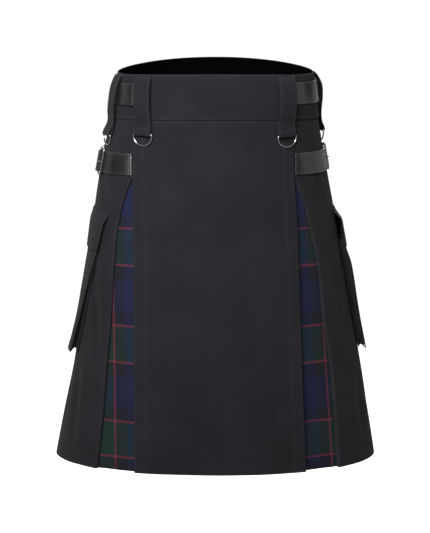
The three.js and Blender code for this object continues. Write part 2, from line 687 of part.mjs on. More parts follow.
add("waistband", waistband(), "cotton");
add("apron", apron(), "cotton");
add("under_apron", underApron(), "cotton");
add("pleated_back", pleatedBack(), "cotton");
for (const [name, spec] of Object.entries(pockets)) {
  add(`side_panel_${name}`, sidePanel(spec.side), "cotton");
  add(`inset_${name}`, inset(spec.side), "tartan");
  add(`pocket_panel_${name}`, pocketPanel(spec), "cotton");
  add(`pocket_gusset_${name}`, pocketGusset(spec), "cotton");
  add(`pocket_flap_${name}`, pocketFlap(spec), "cotton");
}
for (const spec of loops) {
  add(`loop_${spec.name}`, beltLoop(spec), "cotton");
  if (spec.barOut) add(`ring_${spec.name}`, dRing(spec), "nickel");
}
for (const spec of straps) {
  add(`strap_${spec.name}`, strap(spec), "leather");
  add(`tab_${spec.name}`, strapTab(spec), "leather");
  add(`buckle_${spec.name}`, buckleFrame(spec), "nickel");
  add(`prong_${spec.name}`, prong(spec), "nickel");
  add(`keeper_${spec.name}`, strapKeeper(spec), "leather");
}

export default kilt;
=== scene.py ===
import math
import re
from functools import partial
import bpy
import numpy as np
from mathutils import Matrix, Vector


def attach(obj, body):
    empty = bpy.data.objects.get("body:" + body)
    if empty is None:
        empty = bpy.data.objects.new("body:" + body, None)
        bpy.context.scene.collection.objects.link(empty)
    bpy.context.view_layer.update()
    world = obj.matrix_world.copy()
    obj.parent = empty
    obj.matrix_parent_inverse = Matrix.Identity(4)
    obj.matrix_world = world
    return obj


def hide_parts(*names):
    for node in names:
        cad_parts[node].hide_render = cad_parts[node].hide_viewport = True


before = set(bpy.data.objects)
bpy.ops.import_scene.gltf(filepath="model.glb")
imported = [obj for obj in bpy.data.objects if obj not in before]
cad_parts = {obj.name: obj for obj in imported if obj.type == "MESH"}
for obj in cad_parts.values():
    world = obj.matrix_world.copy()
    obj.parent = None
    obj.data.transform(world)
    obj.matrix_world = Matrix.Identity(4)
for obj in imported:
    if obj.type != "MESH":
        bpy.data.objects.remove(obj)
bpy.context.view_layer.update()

# A utility kilt, as worn and filled out. Lengths are in millimetres, and heights count from the
# middle of the waistband: +Z is up and the front apron faces -Y. Left and right are the wearer's,
# so the right side is at -X. "along" is a length round the body from the front middle, and columns
# of heights meet rows of lengths in grids.
mm = 0.001

body = {  # the outer cloth's rounded oval at each height, power 2 being an ellipse
    "z": [33.5, -35, -90, -190, -414, -573.5],
    "middle": [0.8, 0, -2.4, -1.3, 3.4, 0.3],
    "halfWidth": [149.8, 159.5, 170.7, 188, 221.5, 250],
    "front": [101.4, 108, 113.3, 123, 144, 158.5],
    "back": [118, 127, 135.8, 151, 172, 186],
    "power": [2.1, 2.1, 2.12, 2.15, 2.2, 2.25],
    "rim": 33.5, "seam": -35, "hem": -573.5,
    "sideDip": 6.7, "backRise": 2.4,  # how much lower the rim is at the sides, and higher at the back
}
edges = {  # X of the front pleats' edges: the apron's two sides and the side panels' front folds
    "z": [-35, -105, -130, -165, -202, -260, -350, -405, -495, -573.5],
    "apronRight": [-124.5, -124.5, -124.5, -124.5, -124, -123.3, -123, -123, -123, -123],
    "apronLeft": [118, 119.5, 120.5, 123, 125.1, 127.5, 130.6, 132.5, 136.1, 139.5],
    "sideRight": [-113, -117, -130, -142, -150, -156, -161.5, -166.5, -174, -182.5],
    "sideLeft": [107, 111, 124, 137.5, 147, 159.5, 168.5, 178, 186.5, 192],
}
cloth = {"cotton": 1.4, "band": 3.0, "loop": 1.6, "apronOut": 0.9, "sideOut": -1.1, "underBandOut": -3.4,
         "seamGap": 0.3, "panelFlat": 0.537}  # the last is the panels' flat height in metres


def hermite(table, key, z):
    # a cubic through the table's rows, whose slope at a row comes from the rows on either side
    rows, values = np.array(table["z"], float), np.array(table[key], float)
    count = np.arange(len(rows))
    before, after = np.maximum(count - 1, 0), np.minimum(count + 1, len(rows) - 1)
    slopes = (values[after] - values[before]) / (rows[after] - rows[before])
    z = np.asarray(z, float)
    k = np.clip(np.searchsorted(-rows, -z) - 1, 0, len(rows) - 2)
    span = rows[k + 1] - rows[k]
    t = np.clip((z - rows[k]) / span, 0, 1)
    bend, blend = t * (1 - t) * span, t * t * (3 - 2 * t)
    return values[k] * (1 - blend) + values[k + 1] * blend + bend * ((1 - t) * slopes[k] - t * slopes[k + 1])


def ease(t):
    t = np.clip(t, 0, 1)
    return t * t * (3 - 2 * t)


def dropAt(z):
    # 0 at the waistband's seam and 1 at the hem
    return np.clip((body["seam"] - z) / (body["seam"] - body["hem"]), 0, 1)


def place(angle, z, out):
    # x = a |sin|^(2/n), y = -b |cos|^(2/n), moved out along the oval's normal; the rim dips and rises
    angle, z, out = np.broadcast_arrays(*(np.asarray(value, float) for value in (angle, z, out)))
    power, halfWidth = hermite(body, "power", z), hermite(body, "halfWidth", z)
    s, c = np.sin(angle), np.cos(angle)
    halfDepth = np.where(c > 0, hermite(body, "front", z), hermite(body, "back", z))
    u, v = np.abs(s) ** (2 / power), np.abs(c) ** (2 / power)
    nx, ny = np.sign(s) * u ** (power - 1) / halfWidth, -np.sign(c) * v ** (power - 1) / halfDepth
    size = np.hypot(nx, ny)
    x = hermite(body, "middle", z) + np.sign(s) * halfWidth * u + out * nx / size
    y = -np.sign(c) * halfDepth * v + out * ny / size
    rise = body["backRise"] * np.minimum(c, 0) ** 2 - body["sideDip"] * s * s
    return np.stack([x, y, z + rise * (1 - dropAt(z))], -1)


# Lengths round the body: a table of length against angle at each height, and the same turned round.
tableZ = np.linspace(45, -585, 64)
tableAngle = np.radians(np.linspace(0, 360, 721))
oval = place(tableAngle[None], tableZ[:, None], 0)[..., :2]


def runOf(*steps):
    # the length gone at each column, from the steps' sizes between the columns
    size = steps[0] if len(steps) == 1 else np.hypot(*steps)
    return np.cumsum(np.pad(size, ((0, 0), (1, 0))), axis=1)


lengthTable = runOf(*(np.diff(oval[..., k], axis=1) for k in (0, 1)))
shareTable = np.stack([np.interp(np.linspace(0, row[-1], 1441), row, tableAngle) for row in lengthTable])


def lookUp(table, z, column):
    # bilinear reading of a table: rows by height, columns by a fractional index
    row = np.clip((tableZ[0] - z) / (tableZ[0] - tableZ[1]), 0, len(tableZ) - 1.001)
    column = np.clip(column, 0, table.shape[1] - 1.001)
    i, j = np.floor(row).astype(int), np.floor(column).astype(int)
    a, b = row - i, column - j
    return ((1 - a) * ((1 - b) * table[i, j] + b * table[i, j + 1])
            + a * ((1 - b) * table[i + 1, j] + b * table[i + 1, j + 1]))


def girth(z):
    return np.interp(-np.asarray(z, float), -tableZ, lengthTable[:, -1])


def alongOf(angle, z):
    angle, z = np.broadcast_arrays(np.asarray(angle, float), np.asarray(z, float))
    turns = np.floor(angle / (2 * math.pi))
    return turns * girth(z) + lookUp(lengthTable, z, np.degrees(angle - turns * 2 * math.pi) * 2)


def angleOf(along, z):
    along, z = np.broadcast_arrays(np.asarray(along, float), np.asarray(z, float))
    turns = np.floor(along / girth(z))
    return turns * 2 * math.pi + lookUp(shareTable, z, (along / girth(z) - turns) * 1440)


def alongOfX(x, z):
    # the length from the front middle at which the front half of the oval has this X
    x, z = np.broadcast_arrays(np.asarray(x, float), np.asarray(z, float))
    x = x - hermite(body, "middle", z)
    share = np.clip(np.abs(x) / hermite(body, "halfWidth", z), 0, 1)
    return np.sign(x) * alongOf(np.arcsin(share ** (hermite(body, "power", z) / 2)), z)


def angleOfX(x, z):
    return angleOf(alongOfX(x, z), z)


def edgeAlong(key, z, shift=0):
    return alongOfX(hermite(edges, key, z) + shift, z)


def put(along, z, out):
    return place(angleOf(along, z), z, out)


# Grids: rows of heights and lanes across, dense where a fold, an edge or a line of sewing needs it.
lip = [0, 0.25, 0.8]  # a cloth edge is rounded over these first steps
lipShare = [0.3, 0.78, 1.0]


def rowsOf(top, bottom, gap, *lines, half=1.3):
    # a column of heights through both lips and every line of sewing, no further apart than gap
    marks = sorted([top - d for d in lip] + [bottom + d for d in lip] + sewn(*lines, half=half), reverse=True)
    parts = [np.linspace(a, b, max(1, math.ceil((a - b) / gap)) + 1)[:-1] for a, b in zip(marks, marks[1:])]
    return np.concatenate(parts + [[marks[-1]]])[:, None]


def panelRows(gap, *lines):
    return rowsOf(body["seam"] - cloth["seamGap"], body["hem"], gap, *lines)


def lanesOf(left, right, count):
    # lanes as (share of the width, millimetres added): each side's own marks, then even steps between
    anchors = [(0, d) for d in sorted(left)] + [(1, -d) for d in sorted(right, reverse=True)]
    middle = len(left) - 1
    lanes = []
    for k, (p, q) in enumerate(zip(anchors, anchors[1:])):
        n = count if k == middle else max(1, math.ceil((q[1] - p[1]) / 6))
        t = np.linspace(0, 1, n + 1)[:-1, None]
        lanes.append(np.array(p) * (1 - t) + np.array(q) * t)
    return np.concatenate(lanes + [np.array([anchors[-1]], float)])


def spread(start, end, lanes):
    # the lanes' lengths on every row, between the row's start and end
    return start * (1 - lanes[:, 0]) + end * lanes[:, 0] + lanes[:, 1]


def fromSides(along):
    return np.minimum(along - along[:, :1], along[:, -1:] - along)


def nearEdge(along, z, reach=2.2):
    # 1 on a panel's border and fading inwards, from the lengths and heights of its grid
    return np.exp(-np.minimum(fromSides(along), np.minimum(z[:1] - z, z - z[-1:])) / reach)


def sewn(*lines, half=1.3):
    # marks on both sides of each line of sewing, so that it can sink in
    return [d + e for d in lines for e in (-half, 0, half)]


def troughs(distance, *lines, deep=0.28, half=0.9):
    # a row of stitches pulls the cloth in: a narrow dip at each line's distance from an edge
    return -sum(deep * np.exp(-((distance - line) / half) ** 2) for line in lines)


def creases(table, along, z, strength=3.2):
    # each crease is a soft trough between two low ridges, fading towards its ends; its row holds
    # its middle's length and height, its turn in degrees, half its length, its width and its depth
    total = np.zeros(np.broadcast(along, z).shape)
    for at, height, turn, long, wide, deep in table:
        s, c = math.sin(math.radians(turn)), math.cos(math.radians(turn))
        run, side = (along - at) * c + (z - height) * s, (z - height) * c - (along - at) * s
        q = (side / wide) ** 2
        total -= deep * (1 - 1.2 * q) * np.exp(-q) * np.cos(np.clip(run / long, -1, 1) * math.pi / 2) ** 2
    return strength * total


def sway(along, z, waves):
    # the cloth's slow waves, nothing at the waistband and full at the hem
    total = sum(high * np.sin(2 * math.pi * along / long + start) for long, high, start in waves)
    return ease(dropAt(z)) * total


def unit(vectors):
    return vectors / np.maximum(np.linalg.norm(vectors, axis=-1, keepdims=True), 1e-9)


def normalsOf(grid):
    return unit(np.cross(np.gradient(grid, axis=0), np.gradient(grid, axis=1)))


def shell(mid, thickness):
    # both faces lie half a thickness off the middle grid along its normals, and the border is closed
    rows, cols = mid.shape[:2]
    half = np.full((rows, cols), thickness / 2)
    for k, share in enumerate(lipShare):
        for side in (np.s_[k], np.s_[rows - 1 - k], np.s_[:, k], np.s_[:, cols - 1 - k]):
            half[side] = np.minimum(half[side], thickness / 2 * share)
    offset = normalsOf(mid) * half[..., None]
    points = np.concatenate([(mid + offset).reshape(-1, 3), (mid - offset).reshape(-1, 3)])
    index = np.arange(rows * cols).reshape(rows, cols)
    outer = np.stack([index[:-1, :-1], index[1:, :-1], index[1:, 1:], index[:-1, 1:]], -1).reshape(-1, 4)
    inner = outer[:, ::-1] + rows * cols
    border = np.concatenate([index[0, ::-1], index[1:, 0], index[-1, 1:], index[-2:0:-1, -1]])
    after = np.roll(border, -1)
    rim = np.stack([border, border + rows * cols, after + rows * cols, after], -1)
    return points, np.concatenate([outer, inner, rim])


def outFacing(points, faces):
    # turns the faces round if the closed mesh would be inside out
    a, b, c, d = (points[faces[:, k]] for k in (0, 1, 2, -1))
    volume = np.sum(a * np.cross(b, c)) + np.sum(a * np.cross(c, d))
    return faces if volume > 0 else faces[:, ::-1]


# Pieces. A piece is named after its node: pocketFlapLeftCloth stands for pocket_flap_left.
def nodeName(base):
    return re.sub("([A-Z])", r"_\1", base).lower()


def addObject(name, data):
    made = bpy.data.objects.new(name, data)
    bpy.context.collection.objects.link(made)
    return made


def meshPiece(name, points, faces, material, node=None, rides="kilt"):
    # faces is an array of point numbers, or a list of such arrays with different counts of corners
    mesh = bpy.data.meshes.new(name)
    kinds = [np.asarray(kind, np.int32) for kind in (faces if isinstance(faces, list) else [faces])]
    sizes = np.concatenate([np.full(len(kind), kind.shape[1], np.int32) for kind in kinds])
    mesh.vertices.add(len(points))
    mesh.vertices.foreach_set("co", np.asarray(points, np.float32).ravel() * mm)
    mesh.loops.add(int(sizes.sum()))
    mesh.loops.foreach_set("vertex_index", np.concatenate([kind.ravel() for kind in kinds]))
    mesh.polygons.add(len(sizes))
    mesh.polygons.foreach_set("loop_start", (np.cumsum(sizes) - sizes).astype(np.int32))
    mesh.update(calc_edges=True)
    mesh.polygons.foreach_set("use_smooth", np.ones(len(sizes), bool))
    mesh.validate()
    mesh.materials.append(materials[material])
    piece = addObject(name, mesh)
    if node:
        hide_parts(node)
    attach(piece, rides)
    return piece


def paint(piece, values, name="edge"):
    # a value on every point of a shell, such as how near it is to an edge
    attribute = piece.data.attributes.new(name, "FLOAT", "POINT")
    attribute.data.foreach_set("value", np.asarray(values, np.float32).ravel())


def mapUv(piece, u, v):
    # a UV map in metres, the same on both faces of a shell
    layer = piece.data.uv_layers.new(name="cloth")
    uv = np.stack([np.tile(np.ravel(u), 2), np.tile(np.ravel(v), 2)], -1) * mm
    corner = np.empty(len(piece.data.loops), np.int32)
    piece.data.loops.foreach_get("vertex_index", corner)
    layer.data.foreach_set("uv", uv[corner].astype(np.float32).ravel())


def clothPiece(base, grid, u, v, wear, flat, held, restsOn, sign=1, thickness=cloth["cotton"],
               slot="black_cotton", material="cotton"):
    # a sheet of cloth, its lanes turned round on the right side so that it faces outwards
    grid, u, v, wear = (values[:, ::sign] for values in (grid, *np.broadcast_arrays(u, v, wear)))
    points, faces = shell(grid, thickness)
    piece = meshPiece(base + "Cloth", points, faces, material, nodeName(base))
    mapUv(piece, u, v)
    paint(piece, np.tile(np.minimum(wear, 1).ravel(), 2))
    # painted shade: the inner faces of all but the pockets and loops get an 'inside' value of 1, which paints
    # them near black as the unlit inside of the kilt
    paintedShadeInside = not base.startswith(("pocket", "loop"))
    paint(piece, np.repeat([0, int(paintedShadeInside)], wear.size), "inside")


def hungPiece(base, grid, u, v, wear, width, restsOn=("waistbandCloth",), height=cloth["panelFlat"], **more):
    clothPiece(base, grid, u, v, wear, (width, height), "hung", list(restsOn), **more)


# Materials. Groups give heights and masks; each material mixes its own colours from them.
class Graph:
    # a node tree, with short ways to add its nodes
    def __init__(self, tree):
        self.tree = tree

    def feed(self, socket, value):
        # gives a socket a number, a colour or another node's output
        if isinstance(value, (int, float)):
            socket.default_value = value
        elif isinstance(value, tuple):
            socket.default_value = (*value, 1)
        else:
            self.tree.links.new(value, socket)

    def math(self, operation, *values, clamp=False):
        node = self.tree.nodes.new("ShaderNodeMath")
        node.operation, node.use_clamp = operation, clamp
        for socket, value in zip(node.inputs, values):
            self.feed(socket, value)
        return node.outputs[0]

    def times(self, a, b):
        return self.math("MULTIPLY", a, b)

    def noise(self, vector, scale, detail=3.0, roughness=0.55):
        node = self.tree.nodes.new("ShaderNodeTexNoise")
        for socket, value in zip(("Vector", "Scale", "Detail", "Roughness"), (vector, scale, detail, roughness)):
            self.feed(node.inputs[socket], value)
        return node.outputs["Fac"]

    def remap(self, value, low, high, newLow=0.0, newHigh=1.0):
        node = self.tree.nodes.new("ShaderNodeMapRange")
        sockets = ("Value", "From Min", "From Max", "To Min", "To Max")
        for socket, number in zip(sockets, (value, low, high, newLow, newHigh)):
            self.feed(node.inputs[socket], number)
        return node.outputs["Result"]

    def mix(self, factor, a, b, blend="MIX"):
        node = self.tree.nodes.new("ShaderNodeMix")
        node.data_type, node.blend_type = "RGBA", blend
        for socket, value in ((0, factor), (6, a), (7, b)):
            self.feed(node.inputs[socket], value)
        return node.outputs[2]

    def shaded(self, colour, shade):
        # the colour times a plain number
        grey = self.tree.nodes.new("ShaderNodeCombineColor")
        for channel in range(3):
            self.feed(grey.inputs[channel], shade)
        return self.mix(1.0, colour, grey.outputs[0], "MULTIPLY")

    def split(self, vector):
        parts = self.tree.nodes.new("ShaderNodeSeparateXYZ")
        self.feed(parts.inputs[0], vector)
        return parts.outputs

    def seen(self):
        return self.tree.nodes.new("ShaderNodeLightPath").outputs["Is Camera Ray"]


def nodeGroup(name, inputs, outputs):
    # a group's graph, its given sockets and its result's; an input without a number is a vector
    tree = bpy.data.node_groups.new(name, "ShaderNodeTree")
    for socket, value in inputs.items():
        kind = "NodeSocketVector" if value is None else "NodeSocketFloat"
        made = tree.interface.new_socket(socket, in_out="INPUT", socket_type=kind)
        if value is not None:
            made.default_value = value
    for socket in outputs:
        tree.interface.new_socket(socket, in_out="OUTPUT", socket_type="NodeSocketFloat")
    return Graph(tree), tree.nodes.new("NodeGroupInput").outputs, tree.nodes.new("NodeGroupOutput").inputs


def makeWeave():
    # a two-and-two twill: where (warp + weft) modulo 4 is under 2 the warp thread is on top
    graph, given, made = nodeGroup("clothWeave", {"Vector": None, "Thread": 0.0005}, ("Height", "Warp"))
    parts = graph.split(given["Vector"])
    a, b = (graph.math("DIVIDE", parts[k], given["Thread"]) for k in (0, 1))
    total = graph.math("ADD", graph.math("FLOOR", a), graph.math("FLOOR", b))
    warp = graph.math("LESS_THAN", graph.math("FLOORED_MODULO", total, 4.0), 2.0)
    first, second = (graph.math("SINE", graph.times(graph.math("FRACT", x), math.pi)) for x in (a, b))
    weft = graph.math("SUBTRACT", 1.0, warp)
    graph.feed(made["Height"], graph.math("ADD", graph.times(first, warp), graph.times(second, weft)))
    graph.feed(made["Warp"], warp)
    return graph.tree


def makeFade():
    # washed-out patches, fine mottling and lint, from noise of three sizes
    graph, given, made = nodeGroup("handling", {"Vector": None, "Size": 14.0}, ("Fade", "Mottle", "Lint"))
    scaled = graph.tree.nodes.new("ShaderNodeVectorMath")
    scaled.operation = "SCALE"
    graph.feed(scaled.inputs[0], given["Vector"])
    graph.feed(scaled.inputs["Scale"], given["Size"])
    graph.feed(made["Fade"], graph.noise(scaled.outputs[0], 1.0))
    graph.feed(made["Mottle"], graph.noise(scaled.outputs[0], 22.0, 4.0, 0.7))
    graph.feed(made["Lint"], graph.remap(graph.noise(scaled.outputs[0], 60.0, 2.0), 0.72, 0.8))
    return graph.tree


def makeWornAndLitEdge():
    # rubbed edges, and on leather a painted highlight along them: the painted edge value, broken up by noise
    graph, given, made = nodeGroup("wornAndLitEdgeGroup", {"Edge": 0.0, "Vector": None, "Break": 0.6}, ("WornLit",))
    broken = graph.remap(graph.noise(given["Vector"], 260.0, 4.0), 0.3, 0.7)
    kept = graph.math("ADD", graph.math("SUBTRACT", 1.0, given["Break"]), graph.times(broken, given["Break"]))
    graph.feed(made["WornLit"], graph.math("MULTIPLY", given["Edge"], kept, clamp=True))
    return graph.tree


groups = {"weave": makeWeave(), "fade": makeFade(), "wornLit": makeWornAndLitEdge()}


class Finish(Graph):
    # a new material with its Principled shader, coordinates, painted values and handling noise
    def __init__(self, name, size, **plain):
        self.material = bpy.data.materials.new(name)
        self.material.use_nodes = True
        super().__init__(self.material.node_tree)
        self.shader = self.tree.nodes["Principled BSDF"]
        for socket, value in plain.items():
            self.use(socket.replace("_", " "), value)
        self.place = self.tree.nodes.new("ShaderNodeTexCoord").outputs["Object"]
        uv = self.tree.nodes.new("ShaderNodeUVMap")
        uv.uv_map = "cloth"
        self.uv = uv.outputs[0]
        self.fade = self.group("fade", Vector=self.place, Size=size)

    def use(self, socket, value):
        self.feed(self.shader.inputs[socket], value)

    def painted(self, name):
        attribute = self.tree.nodes.new("ShaderNodeAttribute")
        attribute.attribute_name = name
        return attribute.outputs["Fac"]

    def group(self, key, **inputs):
        node = self.tree.nodes.new("ShaderNodeGroup")
        node.node_tree = groups[key]
        for socket, value in inputs.items():
            self.feed(node.inputs[socket], value)
        return node.outputs

    def wornAndLitEdge(self, share, breaking):
        # the painted edge value as a mix share: worn edges on cotton; worn edges and a painted highlight on
        # leather
        wornLit = self.group("wornLit", Edge=self.painted("edge"), Vector=self.place, Break=breaking)["WornLit"]
        return self.times(wornLit, share)

    def mottled(self, low, high):
        return self.remap(self.fade["Mottle"], 0.3, 0.7, low, high)

    def bump(self, *layers):
        # layers of (height, distance in metres), each laid on the one before
        below = None
        for height, distance in layers:
            node = self.tree.nodes.new("ShaderNodeBump")
            node.inputs["Distance"].default_value = distance
            self.feed(node.inputs["Height"], height)
            if below is not None:
                self.feed(node.inputs["Normal"], below)
            below = node.outputs[0]
        self.use("Normal", below)


colours = {  # linear; a pair holds a finish's two shades
    "cotton": ((0.0068, 0.0065, 0.0083), (0.0135, 0.0131, 0.016)), "lint": (0.12, 0.12, 0.13),
    # the 'inside' colour is painted shade: the near black laid on the inner faces for the unlit inside of the
    # kilt
    "inside": (0.001, 0.001, 0.001), "leather": ((0.004, 0.004, 0.0045), (0.007, 0.007, 0.0078)),
    # the lighter leather colour below is worn leather and a painted highlight on the straps' edges and ends
    "leatherWearAndHighlight": (0.03, 0.03, 0.032), "metal": ((0.2, 0.2, 0.205), (0.32, 0.32, 0.325)),
    "thread": ((0.009, 0.0088, 0.011), (0.019, 0.0187, 0.022)),
    "green": (0.0052, 0.013, 0.0108), "red": (0.085, 0.0125, 0.023), "black": (0.006, 0.0059, 0.0095),
    "navy": (0.0056, 0.0072, 0.0225),
}


def cottonFinish():
    finish = Finish("blackCotton", 13.0, Sheen_Roughness=0.4)
    weave = finish.group("weave", Vector=finish.uv, Thread=0.00055)
    fade, inside = finish.fade, finish.painted("inside")
    dyed = finish.mix(finish.wornAndLitEdge(0.55, 0.55), *colours["cotton"])
    shade = finish.times(finish.remap(fade["Fade"], 0.35, 0.65, 0.86, 1.14), finish.mottled(0.9, 1.1))
    # painted light and shade of the weave: the thread tops are painted lighter and the hollows between them
    # darker; the fade and mottle above are the cloth's own uneven tone
    shade = finish.times(shade, finish.remap(weave["Height"], 0.0, 1.0, 0.8, 1.12))
    linted = finish.mix(finish.times(fade["Lint"], 0.12), finish.shaded(dyed, shade), colours["lint"])
    # painted shade: the inner faces take the near-black 'inside' colour and lose their specular and sheen, so
    # the inside of the kilt reads unlit
    finish.use("Base Color", finish.mix(inside, linted, colours["inside"]))
    finish.use("Roughness", finish.mottled(0.82, 0.95))
    outside = finish.math("SUBTRACT", 1.0, inside)
    finish.use("Specular IOR Level", finish.times(outside, 0.09))
    finish.use("Sheen Weight", finish.times(outside, 0.02))
    finish.bump((fade["Fade"], 0.0006), (weave["Height"], 0.00012))
    return finish.material


tartan = {
    "repeat": 145.7,  # of both the warp and the weft
    "weftStart": -378.6,  # height of the middle of a green stripe
    "redWarp": {"Right": [(-351, 155.5), (-572, 153.3)], "Left": [(-422, 171.1), (-572, 181.5)]},
    "halfGreen": 26.6, "red": 1.5, "black": 19.5, "line": 0.9,
    "liftZ": [-545, -490, -400, -345, -258, -206],  # at these heights the weft runs higher by
    "lift": [-0.5, -3.2, -0.8, -1.5, 3.0, 3.0],
}


def tartanStripe(finish, position):
    # one stripe order, counted from the middle of the green, mirrored about it
    share = finish.math("FRACT", finish.math("DIVIDE", position, tartan["repeat"] * mm))
    toNavy = finish.math("ABSOLUTE", finish.math("SUBTRACT", share, 0.5))
    fromGreen = finish.math("SUBTRACT", 0.5, toNavy)  # 0 in the green's middle, 0.5 in the navy's
    ramp = finish.tree.nodes.new("ShaderNodeValToRGB")
    ramp.color_ramp.interpolation = "CONSTANT"
    green, red, black, line = (tartan[key] for key in ("halfGreen", "red", "black", "line"))
    navy = tartan["repeat"] / 2 - green - red * 2 - black - line
    widths = [line, green - line, red * 2, black, navy, line]
    starts = np.cumsum([0] + widths[:-1]) / tartan["repeat"]
    elements = ramp.color_ramp.elements
    while len(elements) < len(widths):
        elements.new(0.5)
    for element, start, name in zip(elements, starts, ("black", "green", "red", "black", "navy", "black")):
        element.position, element.color = start, (*colours[name], 1)
    finish.feed(ramp.inputs[0], fromGreen)
    return ramp.outputs[0]


def tartanFinish():
    finish = Finish("tartanCloth", 16.0, Sheen_Weight=0.02, Sheen_Roughness=0.4, Specular_IOR_Level=0.09,
                    Roughness=0.9)
    parts = finish.split(finish.uv)
    weave = finish.group("weave", Vector=finish.uv, Thread=0.0006)
    woven = finish.mix(weave["Warp"], tartanStripe(finish, parts[1]), tartanStripe(finish, parts[0]))
    # the mottle is the cloth's own uneven tone; the weave's thread tops are painted lighter and its hollows
    # darker, as painted light and shade
    shade = finish.times(finish.mottled(0.9, 1.1), finish.remap(weave["Height"], 0.0, 1.0, 0.82, 1.1))
    finish.use("Base Color", finish.shaded(woven, shade))
    finish.bump((finish.fade["Fade"], 0.0004), (weave["Height"], 0.00012))
    return finish.material


def leatherFinish():
    finish = Finish("blackLeather", 26.0, Coat_Roughness=0.3)
    stretched = finish.tree.nodes.new("ShaderNodeVectorMath")
    stretched.operation = "MULTIPLY"
    stretched.inputs[1].default_value = (26, 26, 3)
    finish.feed(stretched.inputs[0], finish.place)
    polish = finish.remap(finish.noise(stretched.outputs[0], 1.0, 0.0), 0.4, 0.58, 0.08, 0.62)
    finish.use("Specular IOR Level", polish)
    grain = finish.tree.nodes.new("ShaderNodeTexVoronoi")
    grain.feature = "DISTANCE_TO_EDGE"
    grain.inputs["Scale"].default_value = 900
    finish.feed(grain.inputs["Vector"], finish.place)
    dyed = finish.mix(finish.remap(finish.fade["Fade"], 0.35, 0.65), *colours["leather"])
    # the edges and ends are painted lighter: rubbed wear, and a painted highlight where the leather rounds over
    finish.use("Base Color", finish.mix(finish.wornAndLitEdge(0.6, 0.5), dyed, colours["leatherWearAndHighlight"]))
    finish.use("Roughness", finish.mottled(0.26, 0.36))
    finish.use("Coat Weight", finish.remap(finish.fade["Fade"], 0.3, 0.7, 0.0, 0.1))
    finish.bump((finish.fade["Fade"], 0.0008), (finish.remap(grain.outputs["Distance"], 0.0, 0.18), 0.00009))
    return finish.material


def metalFinish():
    finish = Finish("darkNickel", 60.0, Metallic=1.0)
    finish.use("Base Color", finish.mix(finish.mottled(0.0, 1.0), *colours["metal"]))
    finish.use("Roughness", finish.mottled(0.16, 0.3))
    finish.bump((finish.fade["Lint"], 0.00004))
    return finish.material


def threadFinish():
    finish = Finish("blackThread", 40.0, Specular_IOR_Level=0.2)
    finish.use("Base Color", finish.mix(finish.fade["Fade"], *colours["thread"]))
    finish.use("Roughness", finish.mottled(0.42, 0.6))
    return finish.material


materials = {"cotton": cottonFinish(), "tartan": tartanFinish(), "leather": leatherFinish(),
             "metal": metalFinish(), "thread": threadFinish()}
print("materials made:", ", ".join(materials))

# Sewing: every stitch is a short bead of thread, sunk at its ends.
stitch = {"pitch": 3.2, "length": 2.5, "radius": 0.27, "sink": 0.16, "sides": 5}
sewingLines = {"cotton": [], "leather": []}


def sew(kind, path, outward=None):
    # keeps a line of sewing: a path of points on the surface, with its outward directions
    if outward is None:
        outward = unit(path * [1, 1, 0])
    sewingLines[kind].append((path, np.broadcast_to(outward, path.shape)))


def sewOn(outOf, line, height, sign=1, thickness=cloth["cotton"]):
    # a line of sewing on a panel's outer face, from its lengths and heights
    sew("cotton", put(sign * line, height, outOf(line, height) + thickness / 2))


def makeStitches(name, kind):
    # beads evenly along each line: three rings of points a bead, the end ones narrow and low
    beads = []
    for path, outward in sewingLines[kind]:
        lengths = runOf(np.linalg.norm(np.diff(path, axis=0), axis=1)[None])[0]
        at = np.arange(stitch["pitch"] / 2, lengths[-1], stitch["pitch"])
        read = lambda values, a: np.stack([np.interp(a, lengths, values[:, k]) for k in range(3)], -1)
        here, ahead = read(path, at - 0.6), read(path, at + 0.6)
        run, up = unit(ahead - here), read(outward, at)
        beads.append(np.stack([(here + ahead) / 2, run, unit(up - run * np.sum(up * run, 1, keepdims=True))]))
    centre, run, rise = np.concatenate(beads, 1)[:, :, None, None]
    sides = stitch["sides"]
    corner = np.arange(sides)
    turn = (corner * 2 * math.pi / sides)[:, None]
    step = np.array([-0.5, 0.0, 0.5])[:, None, None] * stitch["length"]
    lift = np.array([-stitch["sink"], stitch["radius"] * 0.5, -stitch["sink"]])[:, None, None]
    thick = np.array([0.45, 1.0, 0.45])[:, None, None] * stitch["radius"]
    ring = np.cos(turn) * rise + np.sin(turn) * np.cross(run, rise)
    points = centre + run * step + rise * lift + ring * thick
    after = (corner + 1) % sides
    quads = np.stack([corner, after, after + sides, corner + sides], -1)
    first = np.arange(len(centre))[:, None, None] * sides * 3
    quads = np.concatenate([quads, quads + sides]) + first
    fan = np.stack([np.zeros(sides - 2, int), np.arange(2, sides), np.arange(1, sides - 1)], -1)
    caps = np.concatenate([fan + first, fan[:, ::-1] + 2 * sides + first])
    meshPiece(name, points.reshape(-1, 3), [quads.reshape(-1, 4), caps.reshape(-1, 3)], "thread")


# The waistband: one band once round the waist, its end lapped under its start.
band = {
    "startX": -118, "underEndX": 104, "dipFrom": 30, "dipTo": 7, "sew": [30.5, -30.4],
    "flat": (0.0685, 1.045),
    "creases": [(-60, 8, 80, 20, 5, 0.35), (34, -6, 100, 22, 6, 0.3), (150, 4, 84, 24, 7, 0.4),
                (-190, -2, 96, 24, 7, 0.4), (300, 3, 86, 22, 6, 0.35), (520, -3, 95, 22, 6, 0.35)],
}


def bandOut(along, z):
    end = alongOfX(band["startX"], z) + girth(z)
    under = ease((along - end + band["dipFrom"]) / (band["dipFrom"] - band["dipTo"]))
    wave = 0.35 * np.sin(along / 21 + 1.3) * np.sin((z + 35) / 70 * math.pi)
    return cloth["underBandOut"] * under + wave * (1 - under) + creases(band["creases"], along, z, 1.3)


